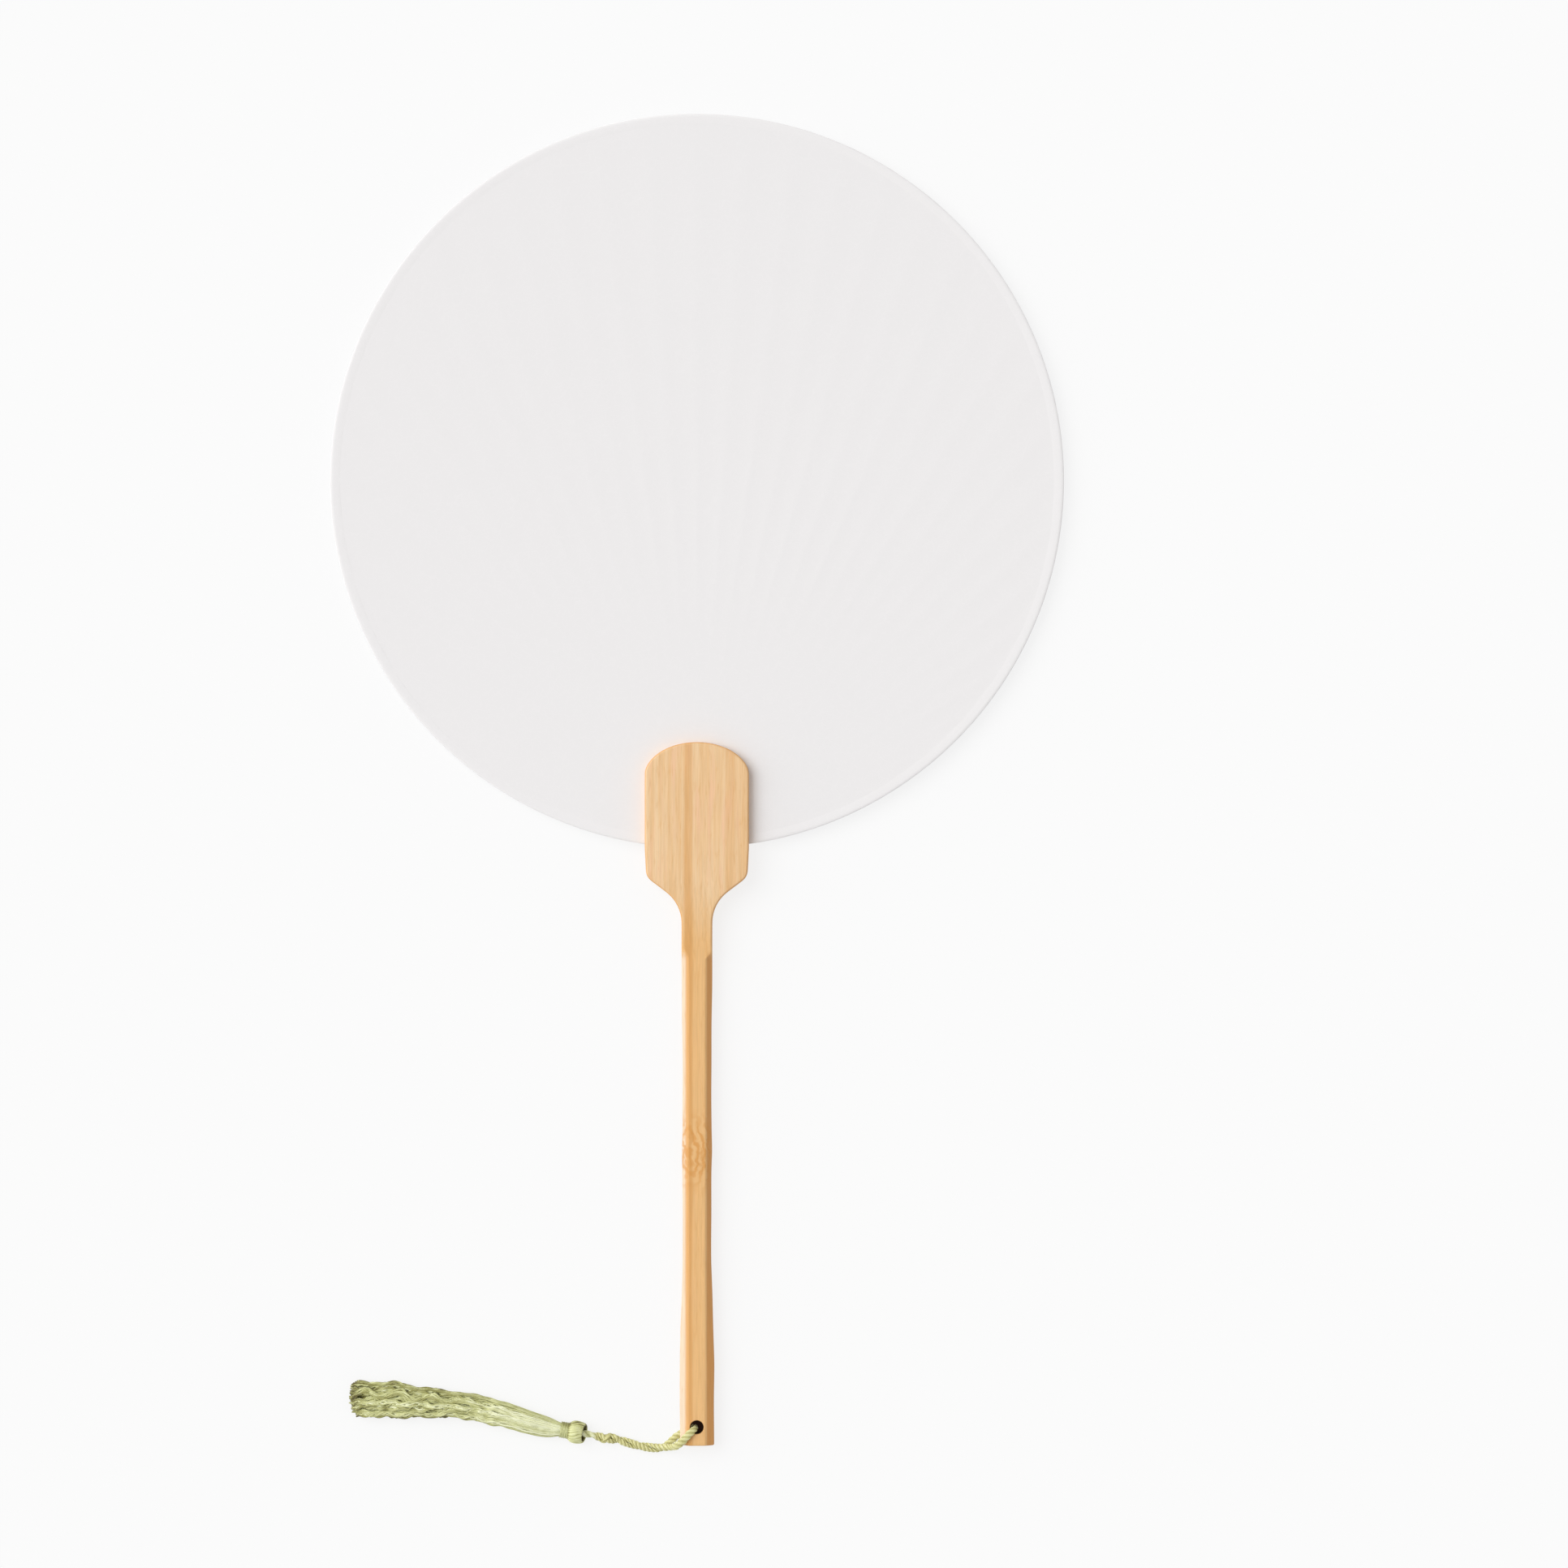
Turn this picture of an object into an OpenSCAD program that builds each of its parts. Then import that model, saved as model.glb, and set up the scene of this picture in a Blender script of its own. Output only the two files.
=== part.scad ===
// Round uchiwa: a stiff paper leaf on bamboo ribs, glued into a slotted bamboo handle.
// The fan lies on its back: the leaf is in the XY plane, +Y towards its top, +Z to the viewer.
// The origin is the centre of the fan's own box, in the middle of the leaf's thickness.

/* [Leaf] */
// Diameter of the round leaf, over its edging
leaf_d = 226; // [200:1:250]
// Thickness of each of the two sheets of paper
paper_t = 0.2; // [0.1:0.05:0.4]
// Width of the folded edging strip on each face
edging_w = 3; // [2:0.5:6]
// Thickness of the edging strip
edging_t = 0.2; // [0.1:0.05:0.4]

/* [Ribs] */
// Number of ribs between the sheets
rib_count = 39; // [21:2:45]
// Angle over which the ribs fan out, in degrees
rib_spread = 152; // [120:1:156]
// Width of one rib
rib_w = 0.8; // [0.5:0.1:1]
// Thickness of one rib
rib_t = 0.5; // [0.3:0.1:0.8]
// Space between two ribs where they are closest
rib_gap = 0.15; // [0.1:0.05:0.3]
// Distance of the ribs' outer ends from the edge of the paper
rib_inset = 0.8; // [0.5:0.1:2]

/* [Paddle] */
// Length of the whole handle
handle_l = 216.5; // [190:0.5:240]
// Width of the paddle between its straight sides
paddle_w = 32; // [28:0.1:36]
// Width of the paddle at its shoulders
shoulder_w = 31.2; // [28:0.1:34]
// Thickness of the paddle
paddle_t = 8; // [7:0.1:10]
// Length of the paddle that covers the leaf
paddle_over = 32.5; // [28:0.5:40]
// Length of the paddle below the leaf
paddle_below = 9; // [7:0.5:12]
// Height of the crown's ellipse
crown_h = 11; // [8:0.5:14]
// How far the crown's ellipse would pass each side, which leaves a slight corner there
crown_spread = 0.35; // [0.2:0.05:1]
// Radius of the hollow curve between shoulder and neck
flare_r = 12; // [8:0.5:14]
// Slope of the shoulders below the horizontal, in degrees
shoulder_slope = 37; // [30:1:45]
// Bevel of the shoulder's corner
shoulder_bevel = 0.8; // [0.4:0.1:1.5]
// Clearance between the glued leaf and each side of the slot
slot_clear = 0.05; // [0.02:0.01:0.1]
// Space between the end of the leaf and the floor of the slot
slot_end = 0.3; // [0.1:0.1:1]

/* [Shaft] */
// Width of the shaft at the neck
neck_w = 9.4; // [8.5:0.1:11]
// Width of the shaft at its narrowest
waist_w = 8.9; // [8:0.1:10]
// Width of the shaft at the butt
butt_w = 10.6; // [9.5:0.1:12]
// Thickness of the shaft
shaft_t = 4.8; // [4.6:0.1:5.4]
// Length of plain neck above the chamfers
neck_l = 9; // [6:0.5:14]
// Distance of the upper end of the narrow stretch from the butt
waist_top = 110; // [90:1:130]
// Distance of the lower end of the narrow stretch from the butt
waist_end = 56; // [45:1:70]
// Distance from the butt over which the shaft keeps its full width
butt_l = 25; // [15:1:35]
// Width of the flat left between the chamfers, on the front and on the back
flat_w = 5.2; // [4:0.1:6]
// How far down each chamfer cuts into the shaft's side
chamfer_h = 1.9; // [1.2:0.1:2.1]
// Length over which a chamfer fades in
chamfer_in = 3; // [2:0.5:10]

/* [Cord hole] */
// Diameter of the hole for the cord
hole_d = 4; // [3.8:0.1:4.6]
// Distance of the hole's centre from the butt
hole_from_butt = 5.75; // [5:0.05:6]
// Chamfer of the hole's two mouths
hole_chamfer = 0.3; // [0.1:0.1:0.5]

/* [Cord and tassel] */
// Diameter of one cord where two are twisted together
cord_d = 1.5; // [1.3:0.1:1.6]
// Width of the soft cord where its loop lies open
loop_w = 2.3; // [1.6:0.1:2.4]
// Thickness of the cord along its loop
loop_t = 1.4; // [1.2:0.1:1.4]
// Diameter of the knot in the doubled cord
knot_d = 3.6; // [3.2:0.1:3.8]
// Diameter of the neck cord between knot and tassel
neck_cord_d = 2.2; // [1.8:0.1:2.4]
// Diameter of the tassel's head at its collar
tassel_head_d = 6.2; // [5.6:0.1:6.2]
// Length of the tassel's head
tassel_head_l = 4.9; // [4.5:0.1:5.5]
// Diameter of the mouth of the tassel's head
mouth_d = 4; // [3.6:0.1:4.4]
// Depth of the mouth
mouth_l = 1.6; // [1.2:0.1:2]
// Diameter of the yarn bundle where it is tied
tie_d = 3.9; // [3.5:0.1:4.8]
// Thickness of the thread wound round the tie
wrap_t = 0.3; // [0.2:0.05:0.6]
// Length of the winding
wrap_l = 2.4; // [1.5:0.1:3]
// Clearance between the yarn bundle and the winding
wrap_clear = 0.05; // [0.02:0.01:0.1]
// Direction of the tassel's head, in degrees from +X
tassel_turn = 170; // [168:1:172]

/* [Hidden] */
// Fineness of round surfaces
$fn = 96;
// Overlap of a cutting shape past the face that it cuts
past = 1;
// Extents of the fan, with the origin in the middle of its length
fan_l = leaf_d + handle_l - paddle_over;
leaf_y = fan_l / 2 - leaf_d / 2;
leaf_low_y = leaf_y - leaf_d / 2;
crown_y = leaf_low_y + paddle_over;
shoulder_y = leaf_low_y - paddle_below;
butt_y = -fan_l / 2;
hole_y = butt_y + hole_from_butt;

// Leaf: ribs in the middle, a sheet on each side, the edging folded round the rim
paper_r = leaf_d / 2 - edging_t;
paper_z = rib_t / 2;
leaf_face_z = paper_z + paper_t;
rib_pitch = rib_spread / (rib_count - 1);
rib_start = (rib_w + rib_gap) / (2 * sin(rib_pitch / 2));
rib_origin_y = leaf_y - paper_r;

// Handle: where the ramp of the shoulder meets the flare, where the flare meets the neck,
// and where the chamfers begin
flare_turn = 90 - shoulder_slope;
ramp_end_x = neck_w / 2 + flare_r * (1 - cos(flare_turn));
ramp_end_y = shoulder_y - (shoulder_w / 2 - ramp_end_x) * tan(shoulder_slope);
flare_y = ramp_end_y - flare_r * sin(flare_turn);
chamfer_y = flare_y - neck_l;
slot_floor_y = leaf_low_y + edging_t - slot_end;
slot_t = 2 * (leaf_face_z + slot_clear);
crown_steps = 48;
flare_steps = 16;

// Slope of the collar of the tassel's head, at each end
collar_bevel = 0.4;

// Surface that the tassel lies on, level with the back of the paddle
ground_z = -paddle_t / 2;
cord_sides = 8;
skirt_sides = 16;
// Number of route points over which the cord opens out at each end of its loop
loop_ease = 4;

// Cord from the doubled stretch over the front, through the hole and back under the shaft.
// All cord and tassel points are measured from the middle of the hole.
loop_route = [
    [-10.4, -6.8, -1.75], [-9.1, -6.7, -1.75], [-8.4, -6.3, -1.2], [-7.9, -5.9, -0.3],
    [-7.5, -5.6, 0.8], [-7.1, -5.3, 2.1], [-6.2, -4.7, 3], [-5.1, -3.8, 3.3],
    [-3.3, -2.5, 3.25], [-1.5, -1.1, 3.25], [-0.3, -0.2, 2.85], [0.5, 0.4, 1.75],
    [0.9, 0.7, 0.3], [0.9, 0.7, -0.3], [0.5, 0.4, -1.75], [-0.3, -0.2, -2.85],
    [-1.5, -1.1, -3.25], [-3.3, -2.5, -3.25], [-5.1, -3.8, -3.25], [-7, -5.3, -3.25],
    [-9.1, -6.7, -3.25], [-10.4, -6.8, -3.25]
];
// Doubled cord, to the knot
pair_route = [[-10.4, -6.8, -2.5], [-13, -7, -2.5], [-18, -6.3, -2.5], [-23.6, -4.7, -2.5]];
// Knot: its middle line, and its thickness there as a share of the knot's diameter
knot_route = [
    [-23.6, -4.7, -2.5], [-24.3, -4.5, -2.5], [-25.4, -4.2, -2.2], [-27, -4, -2.1],
    [-28.6, -3.8, -2.1], [-30.2, -3.5, -2.1], [-31.2, -3.2, -2], [-31.8, -3.1, -1.9]
];
knot_share = [0.7, 0.8, 1, 0.98, 0.9, 1, 0.85, 0.6];
// Neck cord: a rounded root round its third point, where it bends, then on to the head
neck_route = [
    [-32.2, -2.9, -1.7], [-32.6, -2.8, -1.7], [-33.2, -2.7, -1.7], [-34.2, -2.5, -1.4]
];
neck_share = [0.4, 0.8, 1, 1];
// Middle of the mouth of the tassel's head
head_at = [-34.8, -2.35, -0.9];
// Skirt: x, y, width and height where it lies on the surface
skirt_route = [
    [-46, -0.3, 5.4, 4.8], [-51, 1.1, 6.4, 5.4], [-57, 3, 7.1, 5.6], [-65, 5.1, 8.2, 5.6],
    [-74, 6.8, 8.2, 5.4], [-83, 7.4, 9.3, 5.2], [-91, 8, 11.4, 5], [-99, 8.4, 12.4, 4.8],
    [-104, 8.3, 12.7, 4.6], [-107, 8, 11.6, 4.2]
];

// Colours
bamboo = [0.91, 0.74, 0.53];
leaf_white = [0.93, 0.92, 0.92];
edging_white = [0.96, 0.95, 0.94];
yarn_green = [0.72, 0.73, 0.52];
cord_green = [0.62, 0.64, 0.4];

function rib_name(i) = str("rib_", i < 10 ? "0" : "", i);

// Vectors along a route: its direction at a point, and a side vector carried along it untwisted
function unit(v) = v / norm(v);
function heading(route, i) = unit(route[min(i + 1, len(route) - 1)] - route[max(i - 1, 0)]);
function square_to(side, along) = unit(side - (side * along) * along);
function carried(route, side, i = 0) = i == len(route) ? []
    : let (now = square_to(side, heading(route, i))) concat([now], carried(route, now, i + 1));

// Ring of points round one place of a route, half_w to the side and half_h square to it
function ring(centre, along, side, half_w, half_h, count) = [
    for (k = [0:count - 1])
        centre + half_w * cos(360 * k / count) * side + half_h * sin(360 * k / count) * cross(along, side)
];

// Closed solid through one ring per point of a route, with a triangle fan at each end
module swept(route, half_w, half_h, count, first_side) {
    last = len(route) - 1;
    side = carried(route, first_side);
    rings = [for (i = [0:last]) ring(route[i], heading(route, i), side[i], half_w[i], half_h[i], count)];
    walls = [
        for (i = [0:last - 1], k = [0:count - 1])
            let (a = i * count + k, b = i * count + (k + 1) % count)
                each [[a, b, b + count], [a, b + count, a + count]]
    ];
    start = [for (k = [1:count - 2]) [0, k + 1, k]];
    end = [for (k = [1:count - 2]) [last * count, last * count + k, last * count + k + 1]];
    polyhedron([for (r = rings) each r], concat(start, walls, end), convexity = 6);
}

// Round cord of one diameter
module cord(route, diameter, first_side) {
    half = [for (p = route) diameter / 2];
    swept(route, half, half, cord_sides, first_side);
}

// Places its children along the axis of the tassel's head, which becomes Z, from the mouth on
module along_head() {
    translate([0, hole_y, 0] + head_at)
        rotate([0, 90, tassel_turn])
            children();
}

function on_head(distance) = head_at + distance * [cos(tassel_turn), sin(tassel_turn), 0];

// Flat sheet between a rib layer and the edging, from z on
module sheet(z) {
    translate([0, leaf_y, z])
        cylinder(r = paper_r, h = paper_t);
}

module front_paper() {
    color(leaf_white) sheet(paper_z);
}

module rear_paper() {
    color(leaf_white) sheet(-paper_z - paper_t);
}

// Folded strip round the rim, which stops at the two sides of the paddle
module rim_edging() {
    outer_z = leaf_face_z + edging_t;
    gate_w = paddle_w + 2 * slot_end;
    color(edging_white) difference() {
        translate([0, leaf_y, 0])
            rotate_extrude()
                difference() {
                    translate([leaf_d / 2 - edging_w, -outer_z])
                        square([edging_w, 2 * outer_z]);
                    translate([leaf_d / 2 - edging_w - past, -leaf_face_z])
                        square([edging_w + past - edging_t, 2 * leaf_face_z]);
                }
        translate([-gate_w / 2, leaf_low_y - past, -outer_z - past])
            cube([gate_w, paddle_over + past, 2 * (outer_z + past)]);
    }
}

// One bamboo rib, from inside the slot to just short of the rim
module rib(i) {
    turn = (i - (rib_count + 1) / 2) * rib_pitch;
    color(bamboo) intersection() {
        translate([0, rib_origin_y, -rib_t / 2])
            rotate([0, 0, -turn])
                translate([-rib_w / 2, rib_start, 0])
                    cube([rib_w, leaf_d, rib_t]);
        translate([0, leaf_y, -rib_t])
            cylinder(r = paper_r - rib_inset, h = 2 * rib_t);
    }
}

// Right half of the handle's outline seen from the front, from the crown down to the butt
function right_side() = let (
    crown_a = paddle_w / 2 + crown_spread,
    crown_from = acos(paddle_w / 2 / crown_a)
) concat(
    [
        for (k = [0:crown_steps / 2])
            let (a = 90 - (90 - crown_from) * k / (crown_steps / 2))
                [crown_a * cos(a), crown_y - crown_h * (1 - sin(a))]
    ],
    [
        [paddle_w / 2, leaf_low_y], [shoulder_w / 2, shoulder_y + shoulder_bevel],
        [shoulder_w / 2 - shoulder_bevel, shoulder_y - shoulder_bevel * tan(shoulder_slope)]
    ],
    [
        for (k = [0:flare_steps])
            let (a = flare_turn * (1 - k / flare_steps))
                [neck_w / 2 + flare_r * (1 - cos(a)), flare_y + flare_r * sin(a)]
    ],
    [
        [neck_w / 2, chamfer_y], [waist_w / 2, butt_y + waist_top], [waist_w / 2, butt_y + waist_end],
        [butt_w / 2, butt_y + butt_l], [butt_w / 2, butt_y]
    ]
);

// Outline of the handle seen from the front
module handle_outline() {
    right = right_side();
    left = [for (k = [len(right) - 1:-1:1]) [-right[k][0], right[k][1]]];
    polygon(concat(right, left));
}

// Outline of the handle seen from the side: Y across, Z up
module handle_side() {
    polygon([
        [crown_y + past, -paddle_t / 2], [shoulder_y, -paddle_t / 2], [chamfer_y, -shaft_t / 2],
        [butt_y - past, -shaft_t / 2], [butt_y - past, shaft_t / 2], [chamfer_y, shaft_t / 2],
        [shoulder_y, paddle_t / 2], [crown_y + past, paddle_t / 2]
    ]);
}

// Wedge that cuts one long edge of the shaft between two places along it, each given as
// [y, width of the shaft, depth of the cut into its side]
module edge_cut(from, to) {
    corners = [
        for (end = [from, to])
            let (
                slope = 2 * chamfer_h / (end[1] - flat_w),
                inset = end[2] / slope,
                x = end[1] / 2 - inset
            )
                each [
                    [x, end[0], shaft_t / 2],
                    [x + inset + past, end[0], shaft_t / 2 - slope * (inset + past)],
                    [x + inset + past, end[0], shaft_t / 2 + past],
                    [x, end[0], shaft_t / 2 + past]
                ]
    ];
    polyhedron(corners, [
        [0, 1, 2], [0, 2, 3], [4, 6, 5], [4, 7, 6], [0, 4, 5], [0, 5, 1],
        [1, 5, 6], [1, 6, 2], [2, 6, 7], [2, 7, 3], [3, 7, 4], [3, 4, 0]
    ]);
}

// Chamfer along one long edge, fading in below the neck
module long_chamfer() {
    full_y = chamfer_y - chamfer_in;
    full_w = neck_w + (waist_w - neck_w) * chamfer_in / (chamfer_y - butt_y - waist_top);
    stations = [
        [chamfer_y, neck_w, 0], [full_y, full_w, chamfer_h], [butt_y + waist_top, waist_w, chamfer_h],
        [butt_y + waist_end, waist_w, chamfer_h], [butt_y + butt_l, butt_w, chamfer_h],
        [butt_y - past, butt_w, chamfer_h]
    ];
    for (k = [0:len(stations) - 2])
        edge_cut(stations[k], stations[k + 1]);
}

// One piece of bamboo: slotted paddle, flare, neck, chamfered shaft and cord hole
module handle() {
    color(bamboo) difference() {
        intersection() {
            translate([0, 0, -paddle_t])
                linear_extrude(2 * paddle_t) handle_outline();
            rotate([90, 0, 90])
                translate([0, 0, -paddle_w])
                    linear_extrude(2 * paddle_w) handle_side();
        }
        translate([-paddle_w, slot_floor_y, -slot_t / 2])
            cube([2 * paddle_w, paddle_over + slot_end + past, slot_t]);
        for (side = [0, 1], face = [0, 1])
            mirror([side, 0, 0]) mirror([0, 0, face]) long_chamfer();
        translate([0, hole_y, -shaft_t])
            cylinder(d = hole_d, h = 2 * shaft_t);
        for (face = [0, 1])
            mirror([0, 0, face])
                translate([0, hole_y, shaft_t / 2 - hole_chamfer])
                    cylinder(d1 = hole_d, d2 = hole_d + 4 * hole_chamfer, h = 2 * hole_chamfer);
    }
}

// The soft cord opens out between the twisted pair and its loop
module cord_loop() {
    last = len(loop_route) - 1;
    half_w = [
        for (i = [0:last])
            cord_d / 2 + (loop_w - cord_d) / 2 * min(1, i / loop_ease, (last - i) / loop_ease)
    ];
    half_t = [for (p = loop_route) loop_t / 2];
    color(cord_green) translate([0, hole_y, 0])
        swept(loop_route, half_w, half_t, cord_sides, [0, 1, 0]);
}

module cord_pair() {
    color(cord_green) translate([0, hole_y, 0]) cord(pair_route, 2 * cord_d, [0, 1, 0]);
}

module cord_knot() {
    half = [for (share = knot_share) share * knot_d / 2];
    color(cord_green) translate([0, hole_y, 0]) swept(knot_route, half, half, cord_sides, [0, 1, 0]);
}

module neck_cord() {
    half = [for (share = concat(neck_share, [1, 1])) share * neck_cord_d / 2];
    route = concat(neck_route, [on_head(mouth_l / 2), on_head(mouth_l)]);
    color(cord_green) translate([0, hole_y, 0]) swept(route, half, half, cord_sides, [0, 1, 0]);
}

// Folded top of the yarn bundle: a hollow mouth, then the thick collar
module tassel_head() {
    collar_r = tassel_head_d / 2;
    lip_r = (mouth_d / 2 + collar_r) / 2;
    color(yarn_green) along_head() rotate_extrude() polygon([
        [0, mouth_l], [mouth_d / 2, mouth_l], [mouth_d / 2, 0], [lip_r, 0],
        [(lip_r + collar_r) / 2, mouth_l / 2], [collar_r, mouth_l + collar_bevel],
        [collar_r, tassel_head_l - 2 * collar_bevel], [tie_d / 2 + wrap_t, tassel_head_l],
        [0, tassel_head_l]
    ]);
}

// Thread wound round the bundle just below the head
module neck_wrap() {
    inner_r = tie_d / 2 + wrap_clear;
    color(cord_green) along_head() translate([0, 0, tassel_head_l]) difference() {
        cylinder(r = inner_r + wrap_t, h = wrap_l);
        translate([0, 0, -past]) cylinder(r = inner_r, h = wrap_l + 2 * past);
    }
}

// Cut yarn below the winding, as one solid of its outer shape, lying on the surface
module tassel_skirt() {
    tied = [on_head(tassel_head_l), on_head(tassel_head_l + wrap_l)];
    lying = [for (p = skirt_route) [p[0], p[1], ground_z + p[3] / 2]];
    half_w = concat([tie_d / 2, tie_d / 2], [for (p = skirt_route) p[2] / 2]);
    half_h = concat([tie_d / 2, tie_d / 2], [for (p = skirt_route) p[3] / 2]);
    color(yarn_green) translate([0, hole_y, 0])
        swept(concat(tied, lying), half_w, half_h, skirt_sides, [0, 1, 0]);
}

handle();
front_paper();
rear_paper();
rim_edging();
for (i = [1:rib_count]) rib(i);
cord_loop();
cord_pair();
cord_knot();
neck_cord();
tassel_head();
neck_wrap();
tassel_skirt();
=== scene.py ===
"""Looks of a round uchiwa: its paper leaf, bamboo handle, twisted cord and yarn tassel.

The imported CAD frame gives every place.  The fan lies on its back, +Y towards the leaf's top
and +Z to the viewer, and every length here is in metres.  Each class builds one
sub-assembly as surfaces worked out with numpy, and dresses it in its own finish.
"""

import logging
from dataclasses import dataclass, field
from enum import Enum
from functools import reduce

import bmesh
import bpy
import numpy as np
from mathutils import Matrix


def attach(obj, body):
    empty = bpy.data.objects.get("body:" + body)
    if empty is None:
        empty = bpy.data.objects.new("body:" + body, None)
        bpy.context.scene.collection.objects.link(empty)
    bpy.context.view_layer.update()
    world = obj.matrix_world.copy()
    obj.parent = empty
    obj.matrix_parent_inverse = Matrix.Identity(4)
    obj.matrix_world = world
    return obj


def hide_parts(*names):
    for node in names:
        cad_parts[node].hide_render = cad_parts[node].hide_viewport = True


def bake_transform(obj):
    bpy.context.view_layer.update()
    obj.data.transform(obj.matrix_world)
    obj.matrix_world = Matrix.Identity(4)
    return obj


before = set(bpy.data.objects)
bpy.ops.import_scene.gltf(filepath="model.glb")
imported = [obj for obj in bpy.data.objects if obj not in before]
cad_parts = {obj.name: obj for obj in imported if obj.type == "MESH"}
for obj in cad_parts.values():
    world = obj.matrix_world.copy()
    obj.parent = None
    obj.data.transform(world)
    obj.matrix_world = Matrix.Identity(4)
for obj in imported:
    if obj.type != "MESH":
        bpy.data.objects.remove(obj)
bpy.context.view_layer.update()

LOG = logging.getLogger("fan")
Array = np.ndarray
Colour = tuple[float, float, float]
Socket = bpy.types.NodeSocket
Piece = bpy.types.Object

MM = 0.001
TURN = 2 * np.pi
GOLDEN_TURN = np.pi * (3 - np.sqrt(5))
UP = np.array([0.0, 0.0, 1.0])
HOLE = np.array([0.0, -199.25, 0.0]) * MM
GROUND_Z = -4 * MM
CULM_JOINT_Y = -114.5 * MM


class Body(Enum):
    """The CAD bodies that pieces ride on."""

    FAN = "fan"
    CORD = "cord"
    TASSEL = "tassel"


class Slot(Enum):
    """The record's material slots."""

    HANDLE = "handle"
    RIBS = "ribs"
    LEAF = "leaf_paper"
    EDGING = "edging"
    CORD = "cord"
    YARN = "tassel_yarn"


# ---------------------------------------------------------------- shapes as whole arrays


def unit(vectors: Array) -> Array:
    """Scales each vector to length one."""
    return vectors / np.maximum(np.linalg.norm(vectors, axis=-1, keepdims=True), 1e-12)


def dot(one: Array, other: Array) -> Array:
    """Dot product of matching vectors, kept as a last axis of one."""
    return np.sum(one * other, axis=-1, keepdims=True)


def ease(value: Array, low: float, high: float) -> Array:
    """Rises smoothly from 0 at low to 1 at high, as 3t^2 - 2t^3."""
    t = np.clip((value - low) / (high - low), 0, 1)
    return t * t * (3 - 2 * t)


def spline(knots: Array, count: int) -> Array:
    """Passes a Catmull-Rom curve through rows of knots, at even steps of its length.

    Args:
        knots: one row per knot; the first three columns are its place, and the others
            are carried along in the same way.
        count: number of rows to return.

    Returns:
        The rows along the curve.
    """
    ends = 2 * knots[[0, -1]] - knots[[1, -2]]
    padded = np.vstack([ends[:1], knots, ends[1:]])
    at = np.linspace(0, len(knots) - 1, 32 * (len(knots) - 1) + 1)
    first = np.minimum(at.astype(int), len(knots) - 2)
    t = (at - first)[:, None]
    a, b, c, d = (padded[first + k] for k in range(4))
    dense = 0.5 * (2 * b + (c - a) * t + (2 * a - 5 * b + 4 * c - d) * t**2
                   + (3 * b - a - 3 * c + d) * t**3)
    return along_even(dense, count)


def along_even(rows: Array, count: int) -> Array:
    """Takes rows at even steps of the length that their first three columns trace.

    Args:
        rows: rows whose first three columns are a place.
        count: number of rows to return.

    Returns:
        The rows, linearly between those given.
    """
    reach = travelled(rows[:, :3])
    even = np.linspace(0, reach[-1], count)
    return np.stack([np.interp(even, reach, column) for column in rows.T], axis=1)


def travelled(path: Array) -> Array:
    """Length of a path up to each of its points, along the last axis but one."""
    step = np.linalg.norm(np.diff(path, axis=-2), axis=-1)
    return np.concatenate([np.zeros_like(step[..., :1]), np.cumsum(step, axis=-1)], axis=-1)


def soften(rows: Array, reach: int) -> Array:
    """Averages each row with its neighbours under a bell curve, and keeps the two ends.

    Past an end the rows go on as its mirror image, turned over, so that the end stays.

    Args:
        rows: the rows.
        reach: spread of the bell curve, in rows.

    Returns:
        As many rows, softened.
    """
    offsets = np.arange(-3 * reach, 3 * reach + 1)
    bell = np.exp(-0.5 * (offsets / reach) ** 2)
    bell /= bell.sum()
    head = 2 * rows[:1] - rows[3 * reach:0:-1]
    tail = 2 * rows[-1:] - rows[-2:-3 * reach - 2:-1]
    padded = np.concatenate([head, rows, tail])
    return np.stack([np.convolve(column, bell, "valid") for column in padded.T], axis=1)


def steady(sides: Array) -> Array:
    """Turns over those side vectors that point against the one before them.

    Args:
        sides: one vector a row.

    Returns:
        The vectors, each within a quarter turn of the one before it.
    """
    turned = np.sign(np.sum(sides[1:] * sides[:-1], axis=1))
    turned[turned == 0] = 1
    return sides * np.concatenate([[1], np.cumprod(turned)])[:, None]


def relative(values: Array) -> Array:
    """Scales values to run from 0 at their least to 1 at their greatest."""
    return (values - values.min()) / np.ptp(values)


def on_table(points: Array) -> Array:
    """Lifts the points that lie below the table up to it."""
    return np.concatenate([points[..., :2], np.maximum(points[..., 2:], GROUND_Z)], axis=-1)


def scattered(count: int, start: float = 0.0) -> Array:
    """Spreads places evenly over a disc of radius one.

    Place j lies sqrt((j + 0.5) / count) out, and a golden turn on from the one before.

    Args:
        count: number of places.
        start: angle of the first, in radians.

    Returns:
        Places of shape (count, 2).
    """
    j = np.arange(count)
    out, angle = np.sqrt((j + 0.5) / count), GOLDEN_TURN * j + start
    return np.stack([out * np.cos(angle), out * np.sin(angle)], axis=1)


def rings_on(path: Array, side: Array, half_w: Array, half_h: Array, outline: Array) -> Array:
    """Carries a closed outline along one or more paths.

    A point is centre + half_w * r cos(a) * side + half_h * r sin(a) * up, where a runs
    round the outline, r is the outline's own radius there, and up is square to both.

    Args:
        path: centres, with shape (..., rings, 3).
        side: side vectors of the same shape; only their part square to the path counts.
        half_w: half the width at each ring, to the side.
        half_h: half the height at each ring.
        outline: relative radius at each point of each ring, shape (..., rings, sides).

    Returns:
        Points of shape (..., rings, sides, 3).
    """
    along = unit(np.gradient(path, axis=-2))
    square = unit(side - dot(side, along) * along)
    up = np.cross(along, square)
    angle = TURN * np.arange(outline.shape[-1]) / outline.shape[-1]
    wide = (half_w[..., None] * outline * np.cos(angle))[..., None] * square[..., None, :]
    high = (half_h[..., None] * outline * np.sin(angle))[..., None] * up[..., None, :]
    return path[..., None, :] + wide + high


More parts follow.
